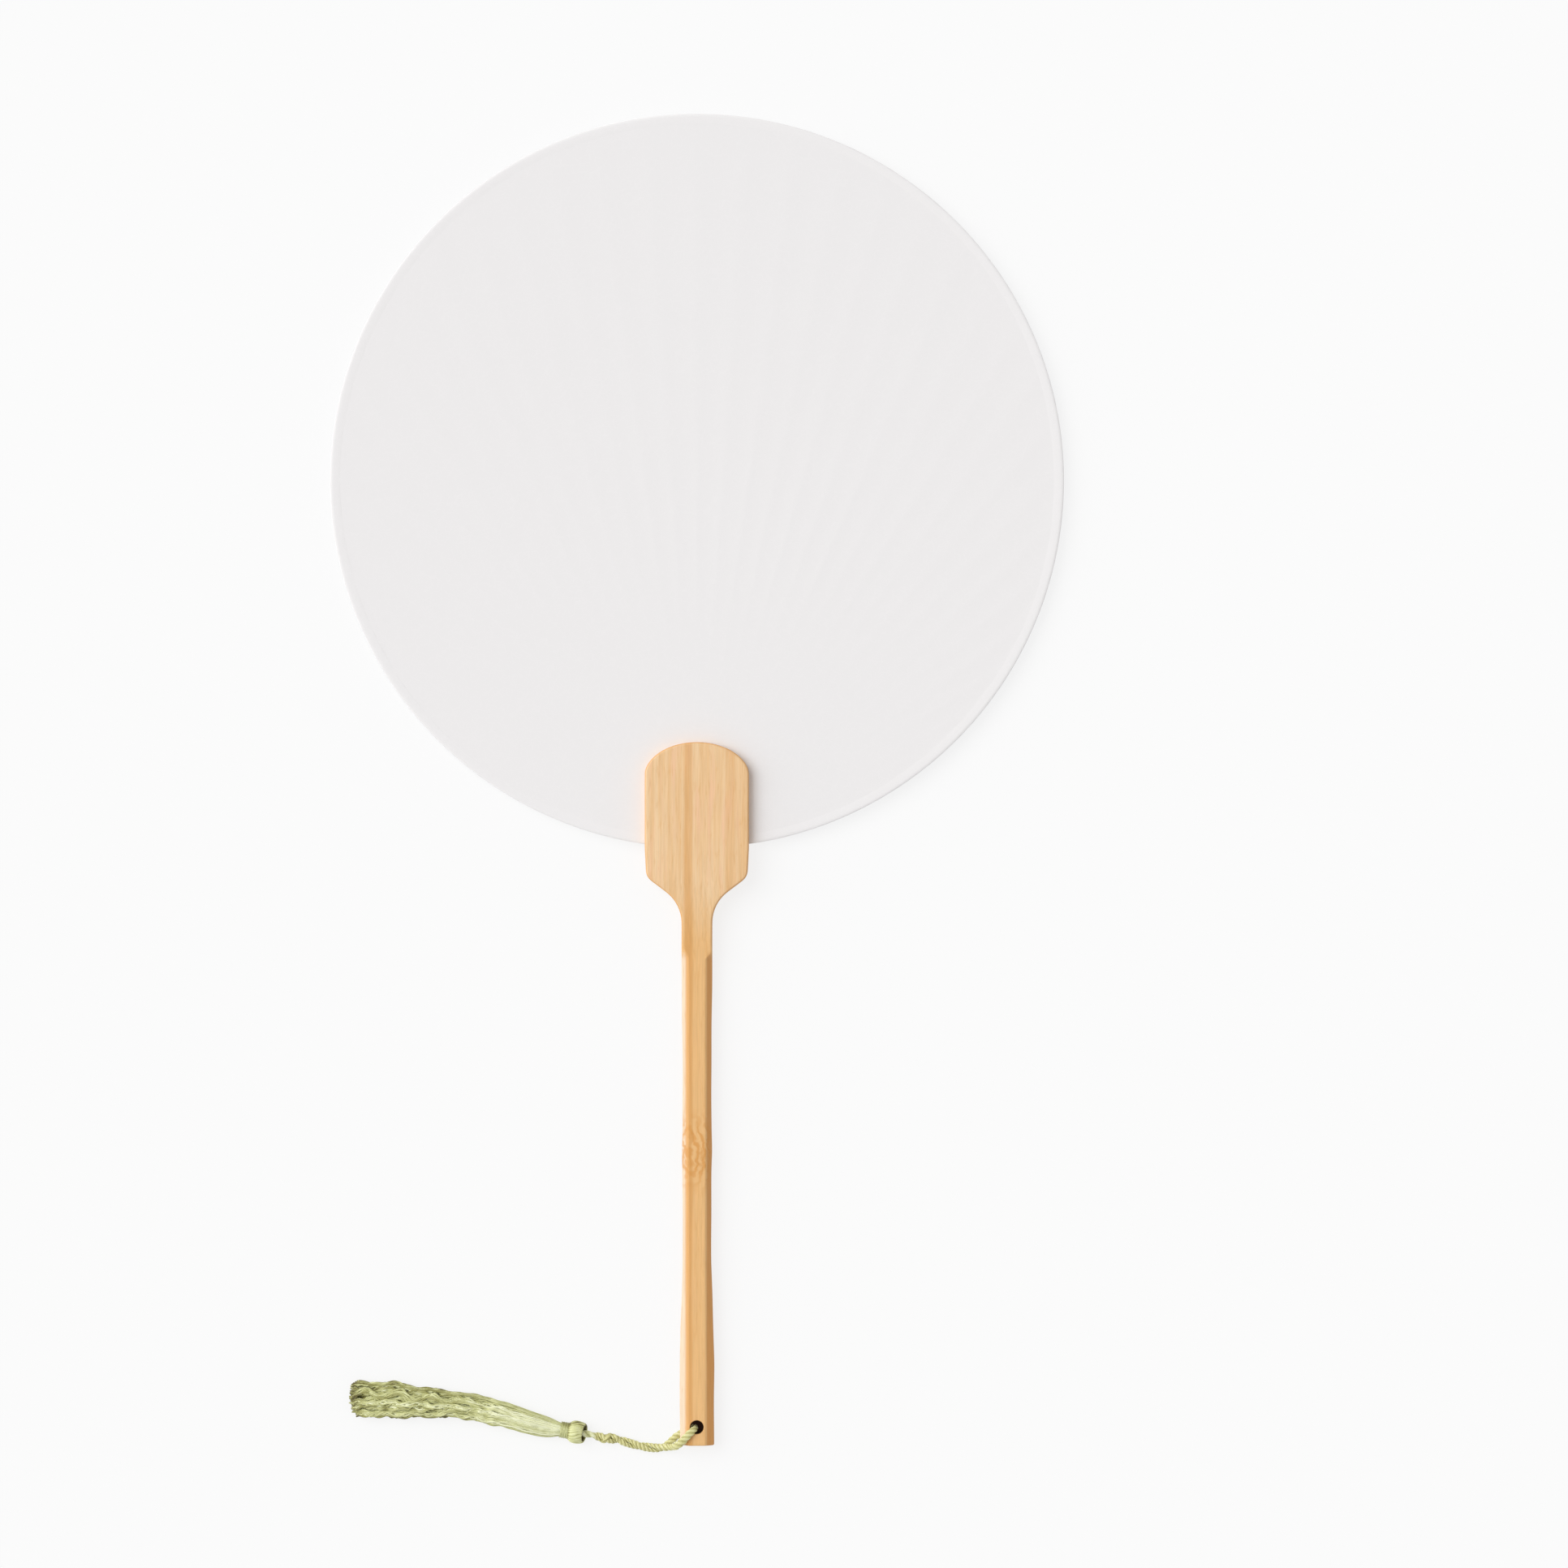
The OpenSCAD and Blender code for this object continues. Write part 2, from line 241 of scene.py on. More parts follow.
def plies(count: int, phase: Array, sides: int, depth: float = 0.64) -> Array:
    """Outline of plies laid side by side round a middle.

    Each ply is a circle of radius depth set 1 - depth from the middle, so the radius is
    (1 - depth) cos(a) + sqrt(depth^2 - (1 - depth)^2 sin(a)^2) at an angle a from the
    nearest ply's middle.

    Args:
        count: number of plies.
        phase: turn of the plies at each ring, in radians.
        sides: number of points round the outline.
        depth: radius of one ply as a share of the cord's.

    Returns:
        Relative radii, with the shape of phase and one more axis for the points.
    """
    angle = TURN * np.arange(sides) / sides - phase[..., None]
    span = TURN / count
    off = (angle + span / 2) % span - span / 2
    middle = 1 - depth
    return middle * np.cos(off) + np.sqrt(depth**2 - (middle * np.sin(off)) ** 2)


@dataclass
class Skin:
    """Points and faces of a surface, with what its finish reads."""

    points: Array
    faces: list[list[int]]
    values: dict[str, Array] = field(default_factory=dict)
    places: Array | None = None

    def write(self, name: str, smooth: bool = True) -> Piece:
        """Makes the mesh object, at the origin and unturned.

        Args:
            name: the piece's name.
            smooth: whether its faces are shaded smooth.

        Returns:
            The piece.
        """
        mesh = bpy.data.meshes.new(name)
        mesh.from_pydata(self.points.tolist(), [], self.faces)
        for label, values in self.values.items():
            attribute = mesh.attributes.new(label, "FLOAT", "POINT")
            attribute.data.foreach_set("value", values.astype(np.float32).ravel())
        if self.places is not None:
            chart = mesh.uv_layers.new(name="along")
            chart.data.foreach_set("uv", self.places.astype(np.float32).ravel())
        mesh.polygons.foreach_set("use_smooth", np.full(len(mesh.polygons), smooth))
        mesh.update()
        piece = bpy.data.objects.new(name, mesh)
        bpy.context.scene.collection.objects.link(piece)
        return piece


def tubes(rings: Array, values: dict[str, Array] | None = None) -> Skin:
    """Closes rings of points into tubes, each with a pole in the middle of either end.

    The chart runs along a tube in centimetres and round it from 0 to 1.

    Args:
        rings: shape (tubes, rings, sides, 3), turning to the right along each tube.
        values: what the finish reads, each of shape (tubes, rings) or (tubes, rings, sides).

    Returns:
        The closed surface of all the tubes.
    """
    count, length, sides, _ = rings.shape
    points = np.concatenate([rings.reshape(-1, 3), rings[:, 0].mean(1), rings[:, -1].mean(1)])
    tube, ring, side = np.meshgrid(
        np.arange(count), np.arange(length - 1), np.arange(sides), indexing="ij")
    here = (tube * length + ring) * sides + side
    beside = here - side + (side + 1) % sides
    quads = np.stack([here, beside, beside + sides, here + sides], axis=-1).reshape(-1, 4)
    first, last = here[:, 0], here[:, -1] + sides
    pole = count * length * sides + np.repeat(np.arange(count)[:, None], sides, axis=1)
    front = np.stack([pole, beside[:, 0], first], axis=-1).reshape(-1, 3)
    back = np.stack([pole + count, last, beside[:, -1] + sides], axis=-1).reshape(-1, 3)
    reach = travelled(rings.mean(axis=2)) / (10 * MM)
    u, v = reach[tube, ring], side / sides
    u_next, v_next = reach[tube, ring + 1], (side + 1) / sides
    chart = np.stack([u, v, u, v_next, u_next, v_next, u_next, v], axis=-1).reshape(-1, 2)
    rim = np.arange(sides) / sides
    start = np.stack([np.zeros(sides), rim + 0.5 / sides, np.zeros(sides), rim + 1 / sides,
                      np.zeros(sides), rim], axis=-1)
    final = np.stack([np.ones(sides), rim + 0.5 / sides, np.ones(sides), rim,
                      np.ones(sides), rim + 1 / sides], axis=-1)
    ends = np.concatenate([np.tile(start, (count, 1)), np.tile(final, (count, 1))])
    spread = {}
    for label, given in (values or {}).items():
        full = np.broadcast_to(given if given.ndim == 3 else given[..., None],
                               (count, length, sides))
        spread[label] = np.concatenate(
            [full.ravel(), full[:, 0].mean(axis=-1), full[:, -1].mean(axis=-1)])
    return Skin(points, quads.tolist() + front.tolist() + back.tolist(), spread,
                np.concatenate([chart, ends.reshape(-1, 2)]))


def sheet(points: Array, wrap: bool = False) -> Skin:
    """Joins a grid of points into quads that face along columns x rows.

    Args:
        points: shape (rows, columns, 3).
        wrap: whether the last column joins the first.

    Returns:
        The open surface.
    """
    rows, columns = points.shape[:2]
    row, column = np.meshgrid(
        np.arange(rows - 1), np.arange(columns if wrap else columns - 1), indexing="ij")
    here = row * columns + column
    beside = row * columns + (column + 1) % columns
    quads = np.stack([here, beside, beside + columns, here + columns], axis=-1)
    return Skin(points.reshape(-1, 3), quads.reshape(-1, 4).tolist())


def cleaned(piece: Piece, distance: float) -> None:
    """Merges doubled points of a closed piece and turns its faces outwards.

    Args:
        piece: the piece.
        distance: points closer than this become one.
    """
    work = bmesh.new()
    work.from_mesh(piece.data)
    bmesh.ops.remove_doubles(work, verts=work.verts, dist=distance)
    bmesh.ops.dissolve_degenerate(work, edges=work.edges, dist=distance / 10)
    bmesh.ops.recalc_face_normals(work, faces=work.faces)
    work.to_mesh(piece.data)
    work.free()


def finished(piece: Piece) -> None:
    """Puts the result of a piece's modifiers into its mesh.

    Args:
        piece: the piece, left without modifiers.
    """
    seen = piece.evaluated_get(bpy.context.evaluated_depsgraph_get())
    made = bpy.data.meshes.new_from_object(seen)
    piece.modifiers.clear()
    piece.data = made


def thickened(piece: Piece, thickness: float) -> Piece:
    """Gives a sheet its thickness, behind its faces, and keeps its cut edges crisp.

    Args:
        piece: the open sheet.
        thickness: the sheet's thickness.

    Returns:
        The piece.
    """
    wall = piece.modifiers.new("thickness", "SOLIDIFY")
    wall.thickness, wall.offset = thickness, -1
    finished(piece)
    piece.data.set_sharp_from_angle(angle=np.radians(40))
    return piece


def cut(piece: Piece, tool: Piece) -> None:
    """Cuts the closed shape of a tool out of a piece, and removes the tool.

    Args:
        piece: the piece that is cut.
        tool: the closed shape that goes.
    """
    step = piece.modifiers.new("cut", "BOOLEAN")
    step.operation, step.solver, step.object = "DIFFERENCE", "EXACT", tool
    finished(piece)
    bpy.data.objects.remove(tool)


def settle(piece: Piece, material: bpy.types.Material, slot: Slot, body: Body | None,
           *nodes: str) -> Piece:
    """Gives a piece its finish and its body, and hides the nodes it stands for.

    Args:
        piece: the finished piece.
        material: its finish.
        slot: the record's slot of that finish; not used.
        body: the body that it rides on, or None where it bends between two.
        nodes: CAD nodes that it replaces.

    Returns:
        The piece.
    """
    piece.data.materials.clear()
    piece.data.materials.append(material)
    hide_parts(*nodes)
    if body is not None:
        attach(piece, body.value)
    LOG.info("%s: %d faces", piece.name, len(piece.data.polygons))
    return piece


# ---------------------------------------------------------------- finishes


def tone(red: float, green: float, blue: float) -> tuple[float, float, float, float]:
    """Turns a colour as a screen shows it into the linear one that a socket takes.

    Args:
        red: from 0 to 255.
        green: from 0 to 255.
        blue: from 0 to 255.

    Returns:
        Linear red, green and blue, and 1 for opaque.
    """
    share = np.array([red, green, blue]) / 255
    linear = np.where(share <= 0.04045, share / 12.92, ((share + 0.055) / 1.055) ** 2.4)
    return (*linear.tolist(), 1.0)


class Sketch:
    """Node tree of a material or of the world, grown socket by socket."""

    def __init__(self, owner: bpy.types.Material | bpy.types.World) -> None:
        """Starts on an empty tree.

        Args:
            owner: the material or the world that the tree belongs to.
        """
        self.owner = owner
        owner.use_nodes = True
        self.tree = owner.node_tree
        self.tree.nodes.clear()

    def add(self, kind: str, inputs: dict | None = None, **settings: object) -> bpy.types.Node:
        """Adds a node.

        Args:
            kind: the node's type, without its ShaderNode prefix.
            inputs: by name or number, a socket to link or a value to set.
            settings: the node's own options.

        Returns:
            The node.
        """
        node = self.tree.nodes.new("ShaderNode" + kind)
        for key, value in settings.items():
            setattr(node, key, value)
        for key, value in (inputs or {}).items():
            if isinstance(value, Socket):
                self.tree.links.new(value, node.inputs[key])
            else:
                node.inputs[key].default_value = value
        return node

    def math(self, operation: str, *terms: object) -> Socket:
        """One step of arithmetic on sockets or numbers."""
        return self.add("Math", dict(enumerate(terms)), operation=operation).outputs[0]

    def times(self, *terms: object) -> Socket:
        """Product of sockets and numbers."""
        return reduce(lambda one, other: self.math("MULTIPLY", one, other), terms)

    def plus(self, *terms: object) -> Socket:
        """Sum of sockets and numbers."""
        return reduce(lambda one, other: self.math("ADD", one, other), terms)

    def minus(self, one: object, other: object) -> Socket:
        """Difference of two sockets or numbers."""
        return self.math("SUBTRACT", one, other)

    def place(self) -> tuple[Socket, ...]:
        """Object coordinates: the whole vector, then X, Y and Z."""
        coords = self.add("TexCoord").outputs["Object"]
        return (coords, *self.add("SeparateXYZ", {0: coords}).outputs)

    def joined(self, x: object, y: object, z: object) -> Socket:
        """A vector from three sockets or numbers."""
        return self.add("CombineXYZ", {0: x, 1: y, 2: z}).outputs[0]

    def stretched(self, place: tuple[Socket, ...], by: tuple[float, ...]) -> Socket:
        """A vector from X, Y and Z, each times its own number."""
        return self.joined(*(self.times(axis, number) for axis, number in zip(place, by)))

    def apart(self, one: object, other: object) -> Socket:
        """Distance between two places."""
        return self.add("VectorMath", {0: one, 1: other}, operation="DISTANCE").outputs["Value"]

    def noise(self, vector: Socket, scale: float, detail: float = 2,
              rough: float = 0.5) -> Socket:
        """Smooth noise from 0 to 1 about 0.5."""
        return self.add("TexNoise", {"Vector": vector, "Scale": scale, "Detail": detail,
                                     "Roughness": rough}).outputs["Fac"]

    def ramp(self, value: Socket, low: float, high: float, to_low: float = 0.0,
             to_high: float = 1.0) -> Socket:
        """Smooth step of a value between two bounds."""
        return self.add("MapRange", {"Value": value, "From Min": low, "From Max": high,
                                     "To Min": to_low, "To Max": to_high},
                        interpolation_type="SMOOTHSTEP").outputs[0]

    def mix(self, share: object, one: object, other: object, blend: str = "MIX") -> Socket:
        """Mixes two colours."""
        return self.add("Mix", {0: share, 6: one, 7: other}, data_type="RGBA",
                        blend_type=blend).outputs[2]

    def laid(self, under: Socket, colour: Colour, *shares: object) -> Socket:
        """Lays a colour over another, by the product of the shares."""
        return self.mix(self.times(*shares), under, tone(*colour))

    def bump(self, height: Socket, distance: float, strength: float = 1.0) -> Socket:
        """Normal of a surface raised by height."""
        return self.add("Bump", {"Height": height, "Distance": distance,
                                 "Strength": strength}).outputs[0]

    def end(self, shader: bpy.types.Node) -> None:
        """Leads a shader to the output of the tree."""
        kind = "OutputWorld" if isinstance(self.owner, bpy.types.World) else "OutputMaterial"
        self.tree.links.new(shader.outputs[0], self.add(kind).inputs["Surface"])

    def close(self, inputs: dict) -> bpy.types.Material:
        """Ends the tree in one principled shader.

        Args:
            inputs: what its sockets take, as for add.

        Returns:
            The material.
        """
        self.end(self.add("BsdfPrincipled", inputs))
        return self.owner


@dataclass(frozen=True)
class Bamboo:
    """Laminated bamboo under a matt lacquer.

    Fibres run along Y, so a noise that hardly changes along Y gives streaks on the faces
    and dots on the end grain.  At the joint of the culm they swirl round an eye.
    """

    name: str = "laminated_bamboo"
    pale: Colour = (238, 204, 160)
    warm: Colour = (230, 188, 137)
    pink: Colour = (238, 192, 152)
    shaft: Colour = (229, 180, 117)
    band: Colour = (215, 158, 90)
    edge: Colour = (222, 166, 104)
    # skin: painted highlight, the pale colour of the left chamfer, which faces the lamp
    skin: Colour = (231, 211, 186)
    # core: painted shade, the dark colour of the right chamfer, which faces away from the lamp
    core: Colour = (207, 143, 74)
    swirl: Colour = (211, 144, 64)
    # painted shade: near black colour of the cord hole's bore, standing in for the shade in its
    # depth
    painted_bore_shade: Colour = (52, 34, 22)
    chamfer_y: float = -53 * MM
    flat_half: float = 2.9 * MM
    eye_x: float = -2.3 * MM
    ring_w: float = 1.9 * MM
    bore_r: float = 2.02 * MM
    roughness: float = 0.45

    def make(self) -> bpy.types.Material:
        """Builds the material.

        Returns:
            The material.
        """
        s = Sketch(bpy.data.materials.new(self.name))
        whole, x, y, z = s.place()
        near = s.ramp(s.math("ABSOLUTE", s.minus(y, CULM_JOINT_Y)), 2 * MM, 9 * MM, 1.0, 0.0)
        slow = s.noise(s.stretched((x, y, z), (90.0, 22.0, 90.0)), 1.0)
        drift = s.times(s.minus(slow, 0.5), 1.2 * MM)
        curl = s.times(s.minus(s.noise(whole, 230.0, 1), 0.5), 7 * MM, near)
        grain = (s.plus(x, drift, curl), y, z)
        fibre = s.stretched(grain, (1.0, 0.03, 1.0))
        fine = s.noise(fibre, 3200.0, 2, 0.55)
        in_shaft = s.ramp(y, -31 * MM, -54 * MM)

        colour = self.boards(s, grain, fibre, in_shaft)
        colour = self.faces(s, colour, y, s.plus(x, s.times(drift, 0.25)))
        colour = self.joint(s, colour, whole, grain, near)
        fleck = s.noise(s.stretched((x, y, z), (1500.0, 190.0, 1500.0)), 1.0, 2)
        colour = s.laid(colour, self.band, s.ramp(fleck, 0.52, 0.74, 0.0, 0.3))
        streak = s.ramp(fine, 0.2, 0.75, 0.93, 1.04)
        colour = s.mix(1.0, colour, s.joined(streak, streak, streak), "MULTIPLY")
        # painted shade: the bore of the cord hole is painted near black
        off_bore = s.apart(s.joined(x, y, 0.0), tuple(HOLE))
        colour = s.laid(colour, self.painted_bore_shade, s.ramp(off_bore, 2.2 * MM, self.bore_r))
        return s.close({
            "Base Color": colour,
            "Roughness": self.roughness,
            "Specular IOR Level": 0.4,
            "Normal": s.bump(fine, 0.03 * MM, 0.6),
        })

    def boards(self, s: Sketch, grain: tuple[Socket, ...], fibre: Socket,
               in_shaft: Socket) -> Socket:
        """Colour of the glued boards: streaks, a flush, and the darker bands between them.

        Args:
            s: the material's tree.
            grain: place across and along the wandering fibres.
            fibre: the same, drawn out along them.
            in_shaft: 0 in the paddle, 1 in the shaft.

        Returns:
            The colour.
        """
        x_now = grain[0]
        coarse = s.noise(fibre, 620.0, 3, 0.6)
        colour = s.mix(s.ramp(coarse, 0.3, 0.7), tone(*self.pale), tone(*self.warm))
        flush = s.noise(s.stretched(grain, (330.0, 42.0, 0.0)), 1.0)
        colour = s.laid(colour, self.pink, s.ramp(flush, 0.5, 0.72, 0.0, 0.75))
        colour = s.laid(colour, self.shaft, in_shaft, 0.85)
        colour = s.laid(colour, self.band, s.ramp(x_now, -4.6 * MM, -3.4 * MM),
                        s.ramp(x_now, -1.9 * MM, -0.9 * MM, 1.0, 0.0),
                        s.plus(s.times(in_shaft, 0.3), 0.55))
        return s.laid(colour, self.band, s.ramp(x_now, 8.2 * MM, 9.4 * MM),
                      s.ramp(x_now, 10.8 * MM, 12 * MM, 1.0, 0.55), 0.35)

    def faces(self, s: Sketch, colour: Socket, y: Socket, rough_x: Socket) -> Socket:
        """Darker walls of the paddle, and on the shaft's chamfers a painted highlight on the left
        one and painted shade on the right one.

        Args:
            s: the material's tree.
            colour: colour of the boards.
            y: place along the handle.
            rough_x: place across it, wavering a little.

        Returns:
            The colour.
        """
        normal = s.add("SeparateXYZ", {0: s.add("TexCoord").outputs["Normal"]})
        wall = s.ramp(s.math("ABSOLUTE", normal.outputs[2]), 0.97, 0.75)
        above = s.ramp(y, self.chamfer_y, self.chamfer_y + 6 * MM)
        below = s.ramp(y, self.chamfer_y + 1 * MM, self.chamfer_y - 3 * MM)
        outer = s.ramp(rough_x, -self.flat_half, -self.flat_half - 1.2 * MM)
        inner = s.ramp(rough_x, self.flat_half, self.flat_half + 0.4 * MM)
        colour = s.laid(colour, self.edge, wall, above, 0.75)
        # painted highlight on the left chamfer (skin colour) and painted shade on the right one
        # (core colour)
        colour = s.laid(colour, self.skin, outer, below, 0.85)
        return s.laid(colour, self.core, inner, below, 0.8)

    def joint(self, s: Sketch, colour: Socket, whole: Socket, grain: tuple[Socket, ...],
              near: Socket) -> Socket:
        """Swirl at the joint of the culm.

        Rings are sin(turn * distance / ring_w + noise), the distance being that from an
        eye that is long along Y, and dark clouds lie among them.

        Args:
            s: the material's tree.
            colour: colour of the shaft.
            whole: Object coordinates.
            grain: place across and along the wandering fibres.
            near: 1 at the joint, 0 away from it.

        Returns:
            The colour.
        """
        cloud = s.ramp(s.noise(s.stretched(grain, (1.0, 0.8, 1.0)), 330.0, 1), 0.46, 0.62)
        _, x, y, _ = s.place()
        past = s.minus(y, CULM_JOINT_Y)
        reach = s.apart(s.joined(x, s.times(past, 0.3), 0.0), (self.eye_x, 0.0, 0.0))
        ring = s.math("SINE", s.plus(s.times(reach, TURN / self.ring_w),
                                     s.times(s.noise(whole, 250.0, 2), 15.0)))
        rings = s.times(s.ramp(ring, -0.9, 1.0),
                        s.ramp(s.math("ABSOLUTE", past), 4 * MM, 15 * MM, 1.0, 0.0))
        return s.laid(colour, self.swirl,
                      s.math("MAXIMUM", s.times(cloud, near, 0.6), s.times(rings, 0.7)))


@dataclass(frozen=True)
class RawBamboo:
    """Split bamboo of the ribs: pale, with a fine grain."""

    name: str = "split_bamboo"
    pale: Colour = (232, 208, 160)
    dark: Colour = (212, 180, 126)

    def make(self) -> bpy.types.Material:
        """Builds the material.

        Returns:
            The material.
        """
        s = Sketch(bpy.data.materials.new(self.name))
        grain = s.noise(s.place()[0], 900.0, 3, 0.6)
        return s.close({
            "Base Color": s.mix(grain, tone(*self.pale), tone(*self.dark)),
            "Roughness": 0.62,
            "Normal": s.bump(grain, 0.04 * MM, 0.5),
        })


@dataclass(frozen=True)
class Paper:
    """Plain matt paper with long pale fibres that hardly show."""

    name: str
    colour: Colour
    fibre: Colour

    def make(self) -> bpy.types.Material:
        """Builds the material.

        The fibres are the edges of cells whose places are bent by a noise.

        Returns:
            The material.
        """
        s = Sketch(bpy.data.materials.new(self.name))
        whole = s.place()[0]
        cloud = s.noise(whole, 60.0, 3, 0.55)
        warp = s.add("TexNoise", {"Vector": whole, "Scale": 260.0, "Detail": 1.0})
        shift = s.add("VectorMath", {0: warp.outputs["Color"], 3: 2.5 * MM}, operation="SCALE")
        bent = s.add("VectorMath", {0: whole, 1: shift.outputs[0]}).outputs[0]
        thread = s.add("TexVoronoi", {"Vector": bent, "Scale": 420.0},
                       feature="DISTANCE_TO_EDGE").outputs["Distance"]
        hair = s.ramp(thread, 0.0, 0.07, 1.0, 0.0)
        share = s.times(s.plus(s.times(cloud, 0.6), hair), 0.5)
        height = s.plus(s.noise(whole, 1900.0, 3, 0.6), s.times(hair, 0.5))
        return s.close({
            "Base Color": s.mix(share, tone(*self.colour), tone(*self.fibre)),
            "Roughness": 0.86,
            "Specular IOR Level": 0.25,
            "Normal": s.bump(height, 0.012 * MM, 0.5),
        })


@dataclass(frozen=True)
class Yarn:
    """Silky spun yarn, read from the piece's own chart and its tone attribute.

    Tone is mostly painted light: it runs from 0, painted shade deep between the yarns, to 1, a
    painted highlight on a lit crest.  Fine filaments run along the chart at a slant.
    """

    name: str
    deep: Colour
    shade: Colour
    middle: Colour
    pale: Colour
    slant: float
    filaments: float
    relief: float
    roughness: float = 0.42
    sheen: Colour = (236, 240, 200)

    def make(self) -> bpy.types.Material:
        """Builds the material.

        Returns:
            The material.
        """
        s = Sketch(bpy.data.materials.new(self.name))
        whole = s.place()[0]
        own = s.add("Attribute", attribute_name="tone").outputs["Fac"]
        chart = s.add("SeparateXYZ", {0: s.add("UVMap", uv_map="along").outputs[0]}).outputs
        turn = s.plus(chart[1], s.times(chart[0], self.slant))
        wave = s.math("SINE", s.times(turn, TURN * self.filaments))
        mottle = s.times(s.minus(s.noise(whole, 420.0, 2), 0.5), 0.5)
        value = s.plus(own, mottle, s.times(wave, 0.05))
        colour = s.mix(s.ramp(value, 0.0, 0.3), tone(*self.deep), tone(*self.shade))
        colour = s.laid(colour, self.middle, s.ramp(value, 0.22, 0.62))
        colour = s.laid(colour, self.pale, s.ramp(value, 0.6, 1.05))
        height = s.plus(wave, s.times(s.noise(whole, 1300.0, 2), 0.8))
        return s.close({
            "Base Color": colour,
            "Roughness": self.roughness,
            "Specular IOR Level": 0.6,
            "Sheen Weight": 0.25,
            "Sheen Roughness": 0.4,
            "Sheen Tint": tone(*self.sheen),
            "Normal": s.bump(height, self.relief, 0.8),
        })


# ---------------------------------------------------------------- the set


@dataclass(frozen=True)
class Lamp:
    """A wide lamp far away: its strength, its angle across, and the way to it."""

    name: str
    strength: float
    across: float
    way: tuple[float, float, float]

    def hang(self) -> None:
        """Hangs the lamp, shining towards the origin."""
        lamp = bpy.data.lights.new(self.name, "SUN")
        lamp.energy, lamp.angle = self.strength, self.across
        hung = bpy.data.objects.new(self.name, lamp)
        z_axis = unit(np.array(self.way))
        x_axis = unit(np.cross(np.array([0.0, 1.0, 0.0]), z_axis))
        turn = np.eye(4)
        turn[:3, :3] = np.stack([x_axis, np.cross(z_axis, x_axis), z_axis], axis=1)
        turn[:3, 3] = z_axis
        hung.matrix_world = turn.T.tolist()
        bpy.context.scene.collection.objects.link(hung)


@dataclass
class Studio:
    """Camera, floor and light.

    The camera looks straight down, and the photograph's 1932 pixels span frame_w at the
    leaf.  The lamps and the world add up to a plain level, so that a colour renders about
    as it is written.
    """

    distance: float = 1.5
    frame_w: float = 483 * MM
    sensor: float = 36.0
    centre: tuple[float, float] = (26.8 * MM, -1.4 * MM)
    floor_half: float = 6.0
    floor_gap: float = 0.02 * MM
    backdrop: float = 0.965
    hole_shade: Colour = (64, 46, 40)
    shadow_share: float = 0.17
    floor_glow: float = 0.3
    shaft_top: float = -40 * MM
    ambient: float = 0.5
    lamps: tuple[Lamp, ...] = (
        Lamp("key", 1.86, np.radians(50), (-0.58, 0.30, 0.77)),
        Lamp("low", 0.6, np.radians(40), (-0.95, 0.17, 0.27)),
    )

    def camera(self) -> None:
        """Sets the camera above the fan, with +Y up in the picture."""
        eye = bpy.data.cameras.new("camera")
        eye.sensor_width = self.sensor
        eye.lens = self.sensor * self.distance / self.frame_w
        eye.clip_start, eye.clip_end = 0.01, 20
        stand = bpy.data.objects.new("camera", eye)
        stand.location = (*self.centre, self.distance)
        bpy.context.scene.collection.objects.link(stand)
        bpy.context.scene.camera = stand

    def seen(self, s: Sketch) -> Socket:
        """Finds the rays that show the background as such: camera, gloss and glass.

        Args:
            s: the tree that asks.

        Returns:
            1 for such a ray, else 0.
        """
        path = s.add("LightPath").outputs
        return s.math("MAXIMUM", s.math("MAXIMUM", path["Is Camera Ray"], path["Is Glossy Ray"]),
                      path["Is Transmission Ray"])

    def floor(self) -> None:
        """Lays the pale floor under the fan.

        Its own glow gives the plain backdrop, and the rest of it takes the shadow.  Under
        the shaft it doesn't glow, and right under the cord hole it is dark, as the table
        is at the foot of a deep hole.  From below it is clear, so that the fan's back
        shows too.
        """
        corners = np.array([[-1, -1, 0], [1, -1, 0], [1, 1, 0], [-1, 1, 0]]) * self.floor_half
        low = np.array([0, 0, GROUND_Z - self.floor_gap])
        floor = Skin(corners + low, [[0, 1, 2, 3]]).write("floor")
        s = Sketch(bpy.data.materials.new("floor"))
        _, x, y, _ = s.place()
        hole_y = float(HOLE[1])
        above = s.minus(y, hole_y)
        along = s.plus(s.times(s.math("MAXIMUM", above, 0.0), 0.3), s.math("MINIMUM", above, 0.0))
        off_hole = s.apart(s.joined(x, along, 0.0), (0.0, 0.0, 0.0))
        shade = s.mix(s.ramp(off_hole, 2.3 * MM, 4 * MM), tone(*self.hole_shade),
                      (self.backdrop, self.backdrop, self.backdrop, 1))
        foot = s.math("MINIMUM", s.math("MAXIMUM", y, hole_y), self.shaft_top)
        off_shaft = s.apart(s.joined(x, y, 0.0), s.joined(0.0, foot, 0.0))
        in_open = s.ramp(off_shaft, 2.5 * MM, 4.4 * MM)
        glowing = s.math("MAXIMUM", s.times(self.seen(s), 1 - self.shadow_share, in_open),
                         s.times(in_open, self.floor_glow))
        plain = s.add("BsdfDiffuse", {"Color": shade})
        glow = s.add("Emission", {"Color": (1, 1, 1, 1), "Strength": self.backdrop})
        both = s.add("MixShader", {0: glowing, 1: plain.outputs[0], 2: glow.outputs[0]})
        s.end(s.add("MixShader", {0: s.add("NewGeometry").outputs["Backfacing"],
                                  1: both.outputs[0], 2: s.add("BsdfTransparent").outputs[0]}))
        floor.data.materials.append(s.owner)

    def light(self) -> None:
        """Hangs the lamps to the upper left, and fills in from the world all round."""
        for lamp in self.lamps:
            lamp.hang()
        world = bpy.data.worlds.new("studio")
        bpy.context.scene.world = world
        s = Sketch(world)
        level = s.add("MapRange", {"Value": self.seen(s), "To Min": self.ambient,
                                   "To Max": self.backdrop})
        s.end(s.add("Background", {"Color": (1, 1, 1, 1), "Strength": level.outputs[0]}))


# ---------------------------------------------------------------- cord


